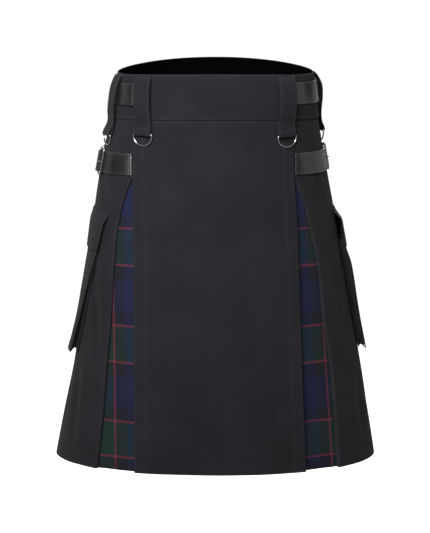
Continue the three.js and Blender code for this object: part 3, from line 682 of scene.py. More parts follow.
def makeWaistband():
    z = rowsOf(body["rim"], body["seam"], 7, *band["sew"])
    start = alongOfX(band["startX"], z)
    end = alongOf(angleOfX(band["underEndX"], z), z) + girth(z)
    along = spread(start, end, lanesOf(lip, lip, 300))
    grid = put(along, z, bandOut(along, z) + troughs(z, *band["sew"]))
    clothPiece("waistband", grid, along, z, nearEdge(along, z), band["flat"], "stretched",
               ["apronCloth", "underApronCloth"], thickness=cloth["band"])
    for height in band["sew"]:
        line = np.arange(start[0, 0] + 3, start[0, 0] + girth(height) - 3, 2.0)
        sewOn(bandOut, line, height, thickness=cloth["band"])


# The apron and the other panels that hang from the band.
panelSewing = [-38.6, -557]  # heights of the sewing under the band and over the hem
apron = {
    "sewEdge": [18, 20.5], "waves": [(190, 0.9, 0.6), (83, 0.35, 2.0)],
    "creases": [(-72, -62, 24, 26, 5, 0.8), (-60, -52, 15, 20, 4, 0.5), (28, -84, -12, 30, 6, 0.45),
                (62, -71, 18, 22, 5, 0.4), (-40, -240, 84, 120, 14, 0.35), (55, -330, 96, 130, 15, 0.4),
                (-75, -430, 88, 90, 12, 0.4), (10, -500, 93, 70, 13, 0.5), (90, -480, 95, 90, 12, 0.45)],
}


def apronOut(along, z):
    return cloth["apronOut"] + sway(along, z, apron["waves"]) + creases(apron["creases"], along, z)


def makeApron():
    z = panelRows(8, *panelSewing)
    marks = lip + sewn(*apron["sewEdge"], half=0.9)
    along = spread(edgeAlong("apronRight", z), edgeAlong("apronLeft", z), lanesOf(marks, marks, 54))
    side = fromSides(along)
    sewing = troughs(z, *panelSewing) + troughs(side, *apron["sewEdge"], half=0.6)
    grid = put(along, z, apronOut(along, z) + sewing)
    wear = nearEdge(along, z) + 0.25 * np.exp(-((side - 19) / 5) ** 2)
    hungPiece("apron", grid, along, z, wear, 0.292)
    heights = np.arange(-37, -571, -2.0)
    for key, sign in (("apronRight", 1), ("apronLeft", -1)):
        for inset in apron["sewEdge"]:
            sewOn(apronOut, edgeAlong(key, heights) + sign * inset, heights)
    for height in panelSewing:
        first, last = edgeAlong("apronRight", height) + 3, edgeAlong("apronLeft", height) - 3
        sewOn(apronOut, np.arange(first, last, 2.0), height)


fold = {"back": 22, "outTop": -2.6, "outHem": {-1: -5.4, 1: -8}, "insetTuck": 16, "insetTop": -112}


def returnOut(sign, z):
    return fold["outTop"] + (fold["outHem"][sign] - fold["outTop"]) * ease(dropAt(z))


def insetOut(sign, z):
    return returnOut(sign, z) - cloth["cotton"] - 0.6


underApron = {"topOut": -4.3, "out": -3.4, "behind": 2.8, "blend": 40, "waves": [(150, 0.8, 1.0)]}


def makeUnderApron():
    z = panelRows(12, panelSewing[1])
    start, end = edgeAlong("apronRight", z, fold["insetTuck"] + 1), edgeAlong("apronLeft", z, 8)
    along = spread(start, end, lanesOf(lip, lip, 40))
    left = ease((along - along[:, :1]) / (along[:, -1:] - along[:, :1]) * 2)
    rightOut, leftOut = np.minimum(underApron["out"], insetOut(-1, z)), insetOut(1, z) - underApron["behind"]
    under = rightOut * (1 - left) + leftOut * left
    hang = ease((z[0] - z) / underApron["blend"])
    out = underApron["topOut"] * (1 - hang) + under * hang + sway(along, z, underApron["waves"])
    hungPiece("underApron", put(along, z, out), along, z, nearEdge(along, z), 0.275)


# Side panels: each turns back behind its front fold and runs round to the pleats.
rear = {-1: (360 - 229, -2), 1: (144, 2)}  # the rear edge's angle from the front, and its lap
side = {
    "waves": [(140, 1.2, 0.4), (61, 0.4, 1.0)],
    "creases": {
        -1: [(190, -150, 66, 60, 9, 0.8), (215, -100, 50, 40, 7, 0.6), (205, -330, 82, 120, 13, 0.9),
             (250, -480, 88, 90, 14, 1.1), (300, -500, 95, 80, 14, 1.0), (340, -455, 86, 90, 12, 0.8)],
        1: [(185, -150, 112, 60, 9, 0.8), (212, -90, 125, 40, 7, 0.6), (215, -320, 98, 120, 13, 0.9),
            (262, -490, 92, 90, 14, 1.1), (310, -480, 85, 80, 14, 1.0), (360, -500, 93, 80, 12, 0.8)],
    },
}


def makeSidePanel(sign, word):
    angle, lap = rear[sign]

    def waveOut(line, height):
        return sway(line, height, side["waves"]) + creases(side["creases"][sign], line, height)

    def outOf(line, height):
        return cloth["sideOut"] + waveOut(line, height)

    z = panelRows(8, *panelSewing)
    front, back = np.abs(edgeAlong("side" + word, z)), alongOf(math.radians(angle), z) + lap
    inner = returnOut(sign, z)
    radius = (cloth["sideOut"] - inner) / 2
    turn = np.linspace(0, math.pi, 9)[1:-1]
    behind = front + np.array([fold["back"] - d for d in lip] + [14, 7])
    outside = spread(front + radius, back, lanesOf([0, 2.5, 6], lip, 60))
    along = np.concatenate([behind, front + radius, front + radius - radius * np.sin(turn), outside], 1)
    waves = waveOut(outside, z)
    innerOut = inner + waves[:, :1]
    bendOut = (cloth["sideOut"] + inner) / 2 - radius * np.cos(turn) + waves[:, :1]
    outer = cloth["sideOut"] + waves + troughs(z, *panelSewing)
    out = np.concatenate([innerOut + 0 * behind, innerOut, bendOut, outer], 1)
    cut = runOf(np.abs(np.diff(along, axis=1)) + 0.5 * np.abs(np.diff(out, axis=1)))
    wear = np.exp(-np.abs(along - front) / 2.5) + np.exp((along - back) / 2) + np.exp((body["hem"] - z) / 2.2)
    hungPiece("sidePanel" + word, put(sign * along, z, out), cut, z, wear, cut[:, -1].mean() * mm, sign=sign)
    for height in panelSewing:
        first, last = abs(edgeAlong("side" + word, height)) + 4, alongOf(math.radians(angle), height) - 3
        sewOn(outOf, np.arange(first, last, 2.0), height, sign)


def makeInset(sign, word):
    z = rowsOf(fold["insetTop"], body["hem"], 8)
    near, far = (np.abs(edgeAlong(key + word, z)) for key in ("apron", "side"))
    along = spread(near - fold["insetTuck"], far + fold["insetTuck"], lanesOf(lip, lip, 26))
    share = np.clip((along - near) / np.maximum(far - near, 1), 0, 1)
    sag = -1.6 * np.sin(math.pi * share) * ease((fold["insetTop"] - z) / 200)
    out = insetOut(sign, z) + sag + sway(along, z, [(47, 0.35, 0.5)])
    (z0, x0), (z1, x1) = tartan["redWarp"][word]
    redX = sign * (x0 + (x1 - x0) * (z - z0) / (z1 - z0))
    shownX = put(alongOfX(redX, z), z, insetOut(sign, z))[..., 0]
    warp = along - np.abs(alongOfX(2 * redX - shownX, z)) - tartan["halfGreen"] - tartan["red"]
    weft = z - np.interp(z, tartan["liftZ"], tartan["lift"]) - tartan["weftStart"]
    width = ((far - near).mean() + 2 * fold["insetTuck"]) * mm
    hungPiece("inset" + word, put(sign * along, z, out), warp, weft, nearEdge(along, z), width,
              ["apronCloth", f"sidePanel{word}Cloth"], 0.46, sign=sign, slot="tartan_cloth", material="tartan")


# The knife-pleated back.
pleats = {"count": 8, "from": 144, "to": 229, "ramp": 9, "rampStart": 3.5, "cloth": 1.2,
          "z": [-35, -180, -380, -573.5], "high": [-0.3, -0.3, 1.2, 3.4], "mid": [-2.3, -2.3, -1.9, -1.3],
          "low": [-4.3, -4.3, -5, -6]}


def pleatEnds(z):
    return (alongOf(math.radians(pleats[key]), z) for key in ("from", "to"))


def pleatPath(z):
    # one row of the back: every pleat comes out from under the last, lies flat to its fold, goes back
    # under itself, and turns again to start the next
    first, last = pleatEnds(z)
    pitch = (last - first) / pleats["count"]
    high, mid, low = (hermite(pleats, key, z) for key in ("high", "mid", "low"))
    upper, lower, ramp = (high - mid) / 2, (mid - low) / 2, pleats["ramp"]
    drop = ease((-35 - z) / 537)
    turn, even, rise = np.linspace(0, math.pi, 9), np.linspace(0, 1, 9), np.linspace(0, 1, 7)
    path = [np.array([[first - 4, low], [first - 1, low]])]
    for k in range(pleats["count"]):
        start = first + k * pitch
        edge = start + pitch + 1 + 0.8 * drop * math.sin(k * 2.1 + z / 60) - upper
        inside = start + ramp + 2 + lower
        rampRun = start + pleats["rampStart"] + (ramp - pleats["rampStart"]) * rise
        bulge = 0.5 * drop * np.sin(math.pi * even)
        path += [np.stack(stretch, -1)[skip:] for skip, stretch in (
            (0, (rampRun, low + (high - low) * ease(rise))),
            (1, (np.linspace(start + ramp, edge, 9), high + bulge)),
            (1, (edge + upper * np.sin(turn), (high + mid) / 2 + upper * np.cos(turn))),
            (1, (np.linspace(edge, inside, 5), np.full(5, mid))),
            (1, (inside - lower * np.sin(turn), (mid + low) / 2 + lower * np.cos(turn))))]
        if k < pleats["count"] - 1:
            path.append(np.array([[start + pitch * 0.7 + ramp * 0.3, low]]))
    path.append(np.array([[last + d, low] for d in (-1, 1.2, 1.75, 2)]))
    return np.concatenate(path)


def makePleats():
    z = panelRows(9, panelSewing[1])
    along, out = np.moveaxis(np.stack([pleatPath(height) for height in z[:, 0]]), -1, 0)
    cut = runOf(np.diff(along, axis=1), np.diff(out, axis=1))
    first, last = pleatEnds(z)
    share = ((along - first) / (last - first) * pleats["count"]) % 1
    onFold = np.exp(-np.minimum(share, 1 - share) * 36 / 2.2)
    wear = np.where(out > hermite(pleats, "high", z) - 1.2, onFold, 0) + np.exp((body["hem"] - z) / 2.2)
    grid = put(along, z, out + troughs(z, panelSewing[1]))
    hungPiece("pleatedBack", grid, cut, z, wear, cut[:, -1].mean() * mm, thickness=pleats["cloth"])


# Cargo pockets: a bag panel held off the side panel by a gusset, under a flap.
pockets = {
    "Right": {"side": -1, "edgeTop": 59.5, "edgeBottom": 77.6, "flapEdge": 6.7, "flapCentre": 3.2,
              "z": [-226, -242, -268, -340, -405], "edge": [4.5, 4.6, 7, 10, 13.2],
              "centre": [1, 1.1, 2.4, 6.2, 9.5]},
    "Left": {"side": 1, "edgeTop": 80.5, "edgeBottom": 86.5, "flapEdge": 10.5, "flapCentre": 6.5,
             "z": [-226, -242, -268, -340, -405], "edge": [8.5, 8.6, 12.6, 11.6, 12.6],
             "centre": [4.2, 4.3, 7, 7, 8]},
    "top": -180, "bottom": -405, "width": 165, "sagEnd": -333, "flapTopOut": 0.9, "rise": 18,
    "sewEdge": [2.2, 8.5], "panelCreases": [
        (30, -290, 62, 40, 6, 0.8), (120, -300, 118, 45, 7, 0.9), (80, -350, 80, 50, 8, 0.7),
        (50, -380, 20, 40, 6, 0.6), (130, -385, -18, 36, 6, 0.6), (95, -260, 100, 34, 7, 0.6)],
    "flapCreases": [(40, -214, 70, 24, 5, 0.5), (110, -216, 105, 26, 6, 0.6), (150, -212, 80, 20, 5, 0.4)],
}
gusset = {"cloth": 1.1, "footOut": 1.1, "underBag": 1.8, "inside": 1.2, "pinch": 5, "fullRoom": 6.7,
          "topDrop": 2, "flat": (0.0145, 0.505)}


def pocketRun(spec, z, widen=0):
    t = (z - pockets["top"]) / (pockets["bottom"] - pockets["top"])
    start = alongOf(np.radians(spec["edgeTop"] + (spec["edgeBottom"] - spec["edgeTop"]) * t), z) - widen
    return start, start + pockets["width"] + 2 * widen


def sagAt(along, start, end):
    # how far the cloth has sunk from the edges' level to the centre's
    return ease(1.3 * np.sin(math.pi * np.clip((along - start) / (end - start), 0, 1)))


def bagOut(spec, along, z):
    start, end = pocketRun(spec, z)
    edge, centre = hermite(spec, "edge", z), hermite(spec, "centre", z)
    kept = 1 - np.clip((pockets["sagEnd"] - z) / (pockets["sagEnd"] - pockets["bottom"]), 0, 1) ** 2
    sag = (centre - edge) * sagAt(along, start, end) * kept
    return edge + sag + creases(pockets["panelCreases"], along - start, z)


def flapOut(spec, along, z):
    start, end = pocketRun(spec, z, pocketSheets["Flap"]["widen"])
    full = spec["flapEdge"] + (spec["flapCentre"] - spec["flapEdge"]) * sagAt(along, start, end)
    low, rise = pockets["flapTopOut"], ease((pockets["top"] - z) / pockets["rise"])
    return low + (full - low) * rise + creases(pockets["flapCreases"], along - start, z, 1)


pocketSheets = {  # "sewTop" is how far the sewing starts under the upper edge
    "Panel": {"out": bagOut, "top": -226, "bottom": -405, "widen": 0, "gap": 7, "rowLines": [],
              "half": 1.3, "sewTop": 14, "flat": (0.165, 0.179), "rests": "pocketGusset"},
    "Flap": {"out": flapOut, "top": -180, "bottom": -239, "widen": 3, "gap": 3, "rowLines": [-184],
             "half": 1.0, "sewTop": 4, "flat": (0.171, 0.061), "rests": "sidePanel"},
}


def makePocketSheet(word, part):
    spec, sheet = pockets[word], pocketSheets[part]
    sign, top, bottom, insets = spec["side"], sheet["top"], sheet["bottom"], pockets["sewEdge"]
    outOf = partial(sheet["out"], spec)
    lines = sheet["rowLines"] + [bottom + d for d in insets]
    z = rowsOf(top, bottom, sheet["gap"], *lines, half=sheet["half"])
    marks = lip + sewn(*insets, half=1.0)
    along = spread(*pocketRun(spec, z, sheet["widen"]), lanesOf(marks, marks, 34))
    sewing = troughs(np.minimum(fromSides(along), z - bottom), *insets, half=0.7)
    grid = put(sign * along, z, outOf(along, z) + sewing)
    clothPiece(f"pocket{part}{word}", grid, along, z, nearEdge(along, z, 3), sheet["flat"], "folded",
               [f"{sheet['rests']}{word}Cloth"], sign)
    for inset in insets:
        down = np.arange(top - sheet["sewTop"], bottom + inset, -2.0)
        left, right = pocketRun(spec, down, sheet["widen"])
        a, b = pocketRun(spec, bottom + inset, sheet["widen"])
        across = np.linspace(a + inset, b - inset, 80)
        for line, height in ((left + inset, down), (across, bottom + inset), (right - inset, down)):
            sewOn(outOf, line, height, sign)


def makeGusset(word):
    # a strip folded inwards, sewn to the side panel and to the bag's edge on three sides
    spec, inside = pockets[word], gusset["inside"]
    top, bottom = pocketSheets["Panel"]["top"] - gusset["topDrop"], pockets["bottom"] + inside
    down = top - np.concatenate([lip, np.linspace(6, top - bottom, 26)])
    across = np.linspace(0, 1, 27)[1:-1]
    n, m = len(down), len(across)
    height = np.concatenate([down, np.full(m, bottom), down[::-1]])[:, None]
    share = np.concatenate([np.zeros(n), across, np.ones(n)])[:, None]
    inX = np.concatenate([np.ones(n), np.zeros(m), -np.ones(n)])[:, None]
    inZ = np.concatenate([np.zeros(n - 1), np.ones(m + 2), np.zeros(n - 1)])[:, None]
    depth = np.linspace(0, 1, 13)
    edge = hermite(spec, "edge", height)
    low, high = gusset["footOut"], edge - gusset["underBag"]
    room = np.minimum(1, (high - low) / gusset["fullRoom"])  # a low gusset has no room for a deep fold
    profile = gusset["pinch"] * room ** 2 * np.sin(math.pi * depth) ** 0.8
    z = height + inZ * profile
    a, b = pocketRun(spec, z)
    along = (a + inside) * (1 - share) + (b - inside) * share + inX * profile
    grid = put(spec["side"] * along, z, low + (high - low) * depth)
    run = runOf(np.linalg.norm(np.diff(grid[:, 6], axis=0), axis=1)[None]).T
    wear = np.exp(-np.minimum(depth, 1 - depth) * 10)
    clothPiece("pocketGusset" + word, grid, run, depth[:: spec["side"]] * 18, wear, gusset["flat"], "folded",
               [f"sidePanel{word}Cloth"], spec["side"], gusset["cloth"])


# Belt loops and the D-rings that hang in four of them.
loop = {"width": 29.5, "top": 31, "sewn": -50, "up": 14, "sewEdge": 3.2}
ring = {"wire": 2.2, "halfBar": 16.3, "leg": 3.5, "height": 17.4, "corner": 2}
loops = {  # "low" is the share of the bow left in the lower half; the ring's bar lies in the fold
    "FrontRight": {"x": -107, "bow": 7, "low": 1, "fold": -55.5, "barOut": 5.7},
    "FrontLeft": {"x": 106.8, "bow": 7, "low": 1, "fold": -57.5, "barOut": 5.3},
    "SideRight": {"angle": -75.5, "bow": 6.8, "low": 0.9, "fold": -59.5, "barOut": 5.6},
    "SideLeft": {"angle": 102, "bow": 10.4, "low": 0.48, "fold": -59.5, "barOut": 4.7},
    "BackLeft": {"angle": 158, "bow": 7, "low": 1}, "BackRight": {"angle": 214, "bow": 7, "low": 1},
}


def loopFrame(spec):
    # the directions across a loop and out of it, and its middle line's points at a height and distance
    def at(z, out, turned=0):
        angle = angleOfX(spec["x"], z) if "x" in spec else math.radians(spec["angle"])
        return place(angle + math.radians(turned), z, out)

    across = unit((at(0, 0, 1) - at(0, 0, -1)) * [1, 1, 0])
    return across, np.array([across[1], -across[0], 0]), at


def smoothPath(points, gap):
    # a Catmull-Rom curve through the points: each stretch leans on the points before and after it
    p = np.asarray(points, float)
    p = np.concatenate([[2 * p[0] - p[1]], p, [2 * p[-1] - p[-2]]])
    parts = []
    for a, b, c, d in zip(p, p[1:], p[2:], p[3:]):
        t = np.linspace(0, 1, max(2, int(np.linalg.norm(c - b) / gap)) + 1)[:-1, None]
        square, cube = 2 * a - 5 * b + 4 * c - d, 3 * b - a - 3 * c + d
        parts.append(0.5 * (2 * b + (c - a) * t + square * t ** 2 + cube * t ** 3))
    return np.concatenate(parts + [[p[-2]]])


def withLips(path, *shares):
    # short steps added at both ends, where the cut edge is rounded
    first, last = path[1] - path[0], path[-1] - path[-2]
    return np.concatenate([path[:1], *(path[:1] + first * share for share in shares), path[1:-1],
                           *(path[-1:] - last * share for share in shares[::-1]), path[-1:]])


def loopProfile(spec):
    # (height, distance out) down a loop, with its fold round the ring's bar or its sewn lower end
    seat = cloth["band"] / 2 + cloth["seamGap"] + cloth["loop"] / 2
    top, bow, low = loop["top"], spec["bow"], spec["low"]
    profile = [(top, seat), (top - 7, seat + bow * 0.45), (top - 20, seat + bow * 0.9),
               (top - 38, seat + bow * (0.4 * low + 0.6)), (top - 56, seat + bow * 0.85 * low),
               (top - 70, seat + max(2, bow * 0.35 * low))]
    if "fold" not in spec:
        return profile + [(loop["sewn"] - d, seat + 0.3) for d in (0, 9)]
    fold, barOut = spec["fold"], spec["barOut"]
    hold = ring["wire"] / 2 + 0.4 + cloth["loop"] / 2
    back = barOut - hold
    turn = np.linspace(0, math.pi, 9)
    bend = zip(fold - hold * np.sin(turn), barOut + hold * np.cos(turn))
    return [*profile, ((top - 70 + fold) / 2, back + 2 * cloth["loop"] - 0.6), (fold + 6, barOut + hold * 0.8),
            *bend, (fold + 6, back), (fold + loop["up"], back)]


def makeLoop(word):
    spec = loops[word]
    across, outward, at = loopFrame(spec)
    line = withLips(smoothPath(loopProfile(spec), 2.2), 0.12, 0.4)
    half = loop["width"] / 2
    marks = lip + sewn(loop["sewEdge"], half=0.8)
    w = spread(-half, half, lanesOf(marks, marks, 8))
    fromSide = half - np.abs(w)
    middle = at(line[:, 0], line[:, 1])
    grid = middle[:, None] + across * w[None, :, None]
    run = runOf(np.hypot(*np.diff(line, axis=0).T)[None])[0]
    normal = normalsOf(grid)
    grid = grid + normal * troughs(fromSide, loop["sewEdge"], deep=0.22, half=0.5)[None, :, None]
    wear = np.exp(-fromSide / 1.8) + np.exp(-np.minimum(run, run[-1] - run) / 1.8)[:, None]
    clothPiece("loop" + word, grid, w, run[:, None], wear, (loop["width"] * mm, run[-1] * mm), "folded",
               ["waistbandCloth"], thickness=cloth["loop"])
    face = middle + normal[:, len(w) // 2] * (cloth["loop"] / 2)
    shown = run < run[-1] - (loop["up"] + 12 if "fold" in spec else 1)
    for s in (-1, 1):
        sew("cotton", (face + across * s * (half - loop["sewEdge"]))[shown], outward)
    for height in (loop["top"] - 3, loop["top"] - 6, loop["sewn"] + 3, loop["sewn"] - 1):
        k = np.argmin(np.abs(line[: len(line) * 3 // 4, 0] - height))
        sew("cotton", face[k] + across * np.linspace(-half + 4, half - 4, 14)[:, None], outward)


def tube(path, radius, across, closed, sides=12):
    # a round bar: a circle of points in the plane of "across" and the path's own side direction
    run = np.roll(path, -1, 0) - np.roll(path, 1, 0) if closed else np.gradient(path, axis=0)
    side = unit(np.cross(run, across))
    turn = (2 * math.pi * (np.arange(sides) + 0.5) / sides)[:, None]
    radius = np.broadcast_to(radius, len(path))[:, None, None]
    points = path[:, None] + radius * (np.cos(turn) * across + np.sin(turn) * side[:, None])
    index = np.arange(len(path) * sides).reshape(len(path), sides)
    last = len(path) if closed else len(path) - 1
    here, step = index[:last], np.roll(index, -1, 0)[:last]
    faces = np.stack([here, step, np.roll(step, -1, 1), np.roll(here, -1, 1)], -1).reshape(-1, 4)
    return points.reshape(-1, 3), faces


def wirePiece(base, ending, path, radius, across, rides="kilt"):
    points, faces = tube(path, radius, across, True)
    meshPiece(base + ending, points, outFacing(points, faces), "metal", nodeName(base), rides)


def makeRing(word):
    across, outward, at = loopFrame(loops[word])
    half, leg, corner = ring["halfBar"], ring["leg"], ring["corner"]
    turn, quarter = np.linspace(0, math.pi, 33), np.linspace(0, math.pi / 2, 6)
    arc = np.stack([half * np.cos(turn), -leg - (ring["height"] - leg) * np.sin(turn)], -1)
    right = np.stack([half - corner + corner * np.sin(quarter), corner * np.cos(quarter) - corner], -1)
    outline = np.concatenate([[[0, 0], [8, 0]], right, arc, (right * [-1, 1])[::-1], [[-8, 0]]])
    middle = at(loops[word]["fold"], loops[word]["barOut"])
    path = middle + outline[:, :1] * across + outline[:, 1:] * np.array([0, 0, 1])
    wirePiece("ring" + word, "Wire", path, ring["wire"] / 2, outward, nodeName("ring" + word))


# Leather straps with their buckles, tabs and keepers.
strapCut = {"width": 33, "leather": 2.0, "tab": 1.2, "sewEdge": 3.4, "keeper": 9, "keeperAt": 26,
            "keeperLeather": 1.2, "air": 0.3}  # the last lies between pieces that touch
buckle = {"gap": 17, "wire": 2.4, "halfHeight": 20.5, "corner": 4, "tail": 46, "tab": 40, "wrap": 9,
          "prong": 2.0}
straps = {
    "WaistRight": {"side": -1, "startX": -122, "zFront": 3.5, "zBack": 3.5, "angle": 111, "base": 1.9},
    "WaistLeft": {"side": 1, "startX": 120, "zFront": 5.5, "zBack": 5.5, "angle": 121, "base": 1.9},
    "HipRight": {"side": -1, "startX": -126, "zFront": -103, "zBack": -103, "angle": 83, "base": -0.1},
    "HipLeft": {"side": 1, "startX": 121.4, "zFront": -102, "zBack": -101, "angle": 101, "base": -0.1},
}
# distances out from the cloth: the strap lying flat, the frame's two bars, the strap over a bar and on its tab
air = strapCut["air"]
lie = air + strapCut["leather"] / 2
heelOut = air + strapCut["tab"] + 0.25 + buckle["wire"] / 2
toeOut = air + strapCut["leather"] + air + buckle["wire"] / 2
hump = heelOut + buckle["wire"] / 2 + 0.25 + strapCut["tab"] + air + strapCut["leather"] / 2
onTab = air + strapCut["tab"] + air + strapCut["leather"] / 2


def strapRun(spec):
    # a strap's height, and the lengths of its front end and of the frame's heel and toe bars
    z = (spec["zFront"] + spec["zBack"]) / 2
    heel = float(alongOf(math.radians(spec["angle"]), z))
    return z, abs(float(alongOfX(spec["startX"], z))), heel, heel - buckle["gap"]


def strapPlace(spec, along, w, out):
    # a point of a strap: along the body, w up from the strap's middle, and out from the cloth
    z, start, heel, _ = strapRun(spec)
    t = np.clip((along - start) / (heel - start), 0, 1)
    height = spec["zFront"] + (spec["zBack"] - spec["zFront"]) * t + w
    lean = angleOfX(spec["startX"], height) - angleOfX(spec["startX"], z)
    return place(spec["side"] * angleOf(along, z) + (1 - t) * lean, height, spec["base"] + out)


def buckledPlace(spec, along, w, out):
    # the same at the buckle, where the strap is level
    return place(spec["side"] * angleOf(along, strapRun(spec)[0]), spec["zBack"] + w, spec["base"] + out)


def leatherPiece(base, grid, thickness, wear, sign):
    grid, wear = grid[:, ::sign], wear[:, ::sign]
    points, faces = shell(grid, thickness)
    faces = outFacing(points, faces)
    piece = meshPiece(base + "Leather", points, faces, "leather", nodeName(base))
    paint(piece, np.tile(np.minimum(wear, 1).ravel(), 2))
    return piece, grid


def leatherStrip(base, spec, path, width, thickness):
    path = withLips(smoothPath(path, 3.0), 0.1, 0.35)
    marks = lip + sewn(strapCut["sewEdge"], half=1)
    w = spread(-width / 2, width / 2, lanesOf(marks, marks, 8))
    fromSide = width / 2 - np.abs(w)
    bead = 0.3 * np.exp(-((fromSide - 1.6) / 0.9) ** 2)
    sewing = troughs(fromSide, strapCut["sewEdge"], deep=0.3, half=0.5)
    grid = strapPlace(spec, path[:, :1], w, path[:, 1:] + (bead + sewing))
    run = path[:, 0] - path[0, 0]
    # the edges and ends are marked for the lighter leather colour: worn leather and a painted highlight where
    # the strap rounds over
    wear = np.exp(-fromSide / 1.5) + np.exp(-np.minimum(run, run[-1] - run) / 1.5)[:, None]
    piece, grid = leatherPiece(base, np.swapaxes(grid, 0, 1)[::-1], thickness, wear.T[::-1], spec["side"])
    mapUv(piece, grid[..., 0], grid[..., 2])
    return path


def makeStrap(word):
    spec, leather, sewEdge = straps[word], strapCut["leather"], strapCut["sewEdge"]
    _, start, heel, toe = strapRun(spec)
    path = [(a, lie) for a in np.linspace(start, toe + 1, 13)]
    path += [(toe + 5, lie + (hump - lie) * 0.25), (heel - 5, lie + (hump - lie) * 0.85), (heel, hump),
             (heel + 5, hump - 0.6), (heel + 11, onTab + 1)]
    path += [(heel + d, onTab) for d in (16, 31, buckle["tail"])]
    line = leatherStrip("strap" + word, spec, path, strapCut["width"], leather)
    edge = strapCut["width"] / 2 - sewEdge
    shown = line[line[:, 0] < line[-1, 0] - 3]
    for w in (-edge, edge):
        sew("leather", strapPlace(spec, shown[:, 0], w, shown[:, 1] + leather / 2 - 0.15))
    sew("leather", strapPlace(spec, start + sewEdge, np.linspace(-edge, edge, 14), lie + leather / 2))


def makeTab(word):
    spec = straps[word]
    heel = strapRun(spec)[2]
    flat = air + strapCut["tab"] / 2
    radius = heelOut - flat
    turn = np.linspace(0, math.pi, 7)
    path = [(heel + d, flat) for d in (buckle["tab"], 25, 12)]
    path += list(zip(heel - radius * np.sin(turn), heelOut - radius * np.cos(turn)))
    path += [(heel + buckle["wrap"] / 2, heelOut + radius - 0.9),
             (heel + buckle["wrap"], flat + strapCut["tab"] + 0.4)]
    leatherStrip("tab" + word, spec, path, strapCut["width"] - 4, strapCut["tab"])


def roundCorners(corners, radius, steps=7):
    # a closed flat outline with each corner replaced by a curve from one side to the next
    c = np.asarray(corners, float)
    before, after = unit(np.roll(c, 1, 0) - c), unit(np.roll(c, -1, 0) - c)
    t = np.linspace(0, 1, steps)[:, None]
    return np.concatenate([(1 - t) ** 2 * (p + a * radius) + 2 * t * (1 - t) * p + t ** 2 * (p + b * radius)
                           for p, a, b in zip(c, before, after)])


def makeBuckle(word):
    spec, half = straps[word], buckle["halfHeight"]
    _, _, heel, toe = strapRun(spec)
    heelAt, toeAt = buckledPlace(spec, heel, 0.0, heelOut), buckledPlace(spec, toe, 0.0, toeOut)
    up = unit(buckledPlace(spec, heel, 10.0, heelOut) - buckledPlace(spec, heel, -10.0, heelOut))
    across = toeAt - heelAt
    across -= up * np.dot(across, up)
    gap = np.linalg.norm(across)
    across /= gap
    outline = roundCorners([(0, -half), (gap, -half), (gap, half), (0, half)], buckle["corner"])
    path = heelAt + outline[:, :1] * across + outline[:, 1:] * up
    wirePiece("buckle" + word, "Frame", path, buckle["wire"] / 2, np.cross(across, up))


def makeProng(word):
    spec, sides = straps[word], 12
    toe = strapRun(spec)[3]
    top = toeOut + buckle["wire"] / 2 + air + buckle["prong"] / 2
    steps = [(-3, top - 0.3), (1, top), (5, top + 0.6), (11, hump + 1.2)]
    line = smoothPath([(toe + along, out) for along, out in steps], 1.0)
    spine = buckledPlace(spec, line[:, 0], 0.0, line[:, 1])
    first, last = (spine[1] - spine[0]) * 0.15, (spine[-1] - spine[-2]) * 0.15
    spine = np.concatenate([spine[:1] - first, spine, spine[-1:] + last])
    radius = np.full(len(spine), buckle["prong"] / 2)
    radius[[0, -1]] = 0.05
    points, faces = tube(spine, radius, np.array([0.0, 0, 1]), False, sides)
    caps = np.stack([np.arange(sides)[::-1], np.arange(sides) + len(points) - sides])
    meshPiece(f"prong{word}Pin", points, [faces, caps], "metal", nodeName("prong" + word))


def makeKeeper(word):
    # a leather bridge over the strap, its two feet sewn down beside it
    spec, wide, leather = straps[word], strapCut["keeper"], strapCut["keeperLeather"]
    half = strapCut["width"] / 2 + 1.6
    over = onTab + strapCut["leather"] / 2 + air + leather / 2
    foot = air + leather / 2
    arm = [(half + 3, foot), (half + 0.4, foot), (half, foot + 0.6), (half, over - 1.4), (half - 1.6, over)]
    bridge = np.array(arm + [(-a, o) for a, o in arm[::-1]])
    steps = np.array([*lip, 2.4, 4.5, 6.6, wide - 0.8, wide - 0.25, wide])
    along = strapRun(spec)[2] + strapCut["keeperAt"] - wide / 2 + steps[None]
    grid = buckledPlace(spec, along, bridge[:, :1], bridge[:, 1:])
    # the keeper's cut ends are marked the same way: worn leather and a painted highlight
    wear = np.exp(-np.minimum(steps, wide - steps) / 1.2)[None].repeat(len(bridge), 0)
    leatherPiece("keeper" + word, grid, leather, wear, spec["side"])


# The camera at the photograph's place, then the pieces.
view = {"distance": 4.5, "elevation": 10.64, "target": (0, 0, -0.279), "focal": 2885, "frame": (430, 533),
        "sensor": 36}


def makeCamera():
    camera = bpy.data.cameras.new("camera")
    camera.sensor_fit, camera.sensor_height = "VERTICAL", view["sensor"]
    camera.lens = view["sensor"] * view["focal"] / view["frame"][1]
    camera.clip_end = 60
    holder = addObject("camera", camera)
    lift = math.radians(view["elevation"])
    x, y, z = view["target"]
    holder.location = (x, y - view["distance"] * math.cos(lift), z + view["distance"] * math.sin(lift))
    holder.rotation_euler = (math.pi / 2 - lift, 0, 0)
    bpy.context.scene.camera = holder


makeCamera()
makeWaistband()
makeApron()
makeUnderApron()
for sign, word in ((-1, "Right"), (1, "Left")):
    makeSidePanel(sign, word)
    makeInset(sign, word)
    makePocketSheet(word, "Panel")
    makeGusset(word)
    makePocketSheet(word, "Flap")
makePleats()
print("cloth made")
for word in loops:
    makeLoop(word)
    if "fold" in loops[word]:
        makeRing(word)
for word in straps:
    for make in (makeStrap, makeTab, makeBuckle, makeProng, makeKeeper):
        make(word)
print("loops, rings and straps made")
makeStitches("clothStitches", "cotton")
makeStitches("leatherStitches", "leather")
print("sewing made")


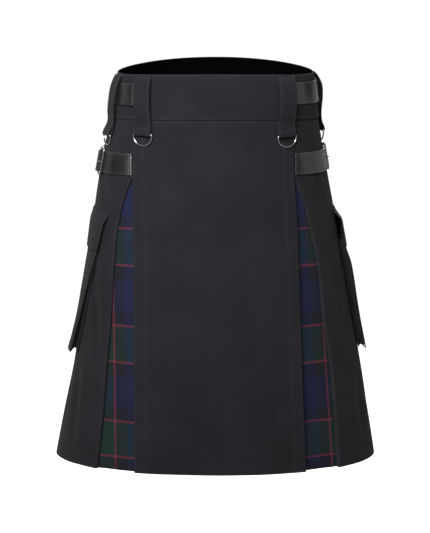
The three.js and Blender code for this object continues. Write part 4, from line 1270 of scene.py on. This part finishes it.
# A plain pale studio: floor, world, sun and soft lamps, each as (place, aim, size, watts, beam).
studio = {
    "floor": -1.0, "floorFrom": -0.7, "floorSize": 30,
    "floorSeen": (0.93, 0.93, 0.93), "floorLit": (0.4, 0.4, 0.4),  # to the camera, and to other rays
    "world": 0.5, "sun": 2.0, "sunAngle": 35, "sunHeight": 75,
    "lamps": {"key": ((-0.42, -1.3, 0.7), (0, -0.1, -0.1), (1.0, 0.6), 15.3, 75),
              "rightStrip": ((-2.27, -0.4, 0.1), (0, 0, -0.1), (0.35, 1.4), 0.8, 180),
              "leftStrip": ((2.27, -0.4, 0.1), (0, 0, -0.1), (0.35, 1.4), 0.8, 180),
              "back": ((0, 2.4, 0.5), (0, 0.1, -0.2), (1.0, 0.8), 28, 180)},
}


def makeFloor():
    mesh = bpy.data.meshes.new("floor")
    front, size, z = studio["floorFrom"], studio["floorSize"], studio["floor"]
    corners = ((-size, front), (size, front), (size, size), (-size, size))
    mesh.from_pydata([(x, y, z) for x, y in corners], [], [(0, 1, 2, 3)])
    pale = bpy.data.materials.new("paleFloor")
    pale.use_nodes = True
    graph, shader = Graph(pale.node_tree), pale.node_tree.nodes["Principled BSDF"]
    graph.feed(shader.inputs["Base Color"], graph.mix(graph.seen(), studio["floorLit"], studio["floorSeen"]))
    shader.inputs["Roughness"].default_value = 0.9
    mesh.materials.append(pale)
    addObject("floor", mesh)


def makeLight():
    world = bpy.data.worlds.new("studio")
    world.use_nodes = True
    graph, background = Graph(world.node_tree), world.node_tree.nodes["Background"]
    background.inputs["Color"].default_value = (1, 1, 1, 1)
    graph.feed(background.inputs["Strength"], graph.remap(graph.seen(), 0.0, 1.0, studio["world"], 1.0))
    bpy.context.scene.world = world
    sun = bpy.data.lights.new("sun", "SUN")
    sun.energy, sun.angle = studio["sun"], math.radians(studio["sunAngle"])
    addObject("sun", sun).rotation_euler = (math.radians(studio["sunHeight"] - 90), 0, 0)
    for name, (spot, aim, wide, watts, beam) in studio["lamps"].items():
        lamp = bpy.data.lights.new(name, "AREA")
        lamp.shape, lamp.energy, lamp.spread = "RECTANGLE", watts, math.radians(beam)
        lamp.size, lamp.size_y = wide
        holder = addObject(name, lamp)
        holder.location = spot
        holder.rotation_euler = (Vector(aim) - Vector(spot)).to_track_quat("-Z", "Y").to_euler()
    bpy.context.scene.view_settings.view_transform = "Standard"


makeFloor()
makeLight()
print("studio made")
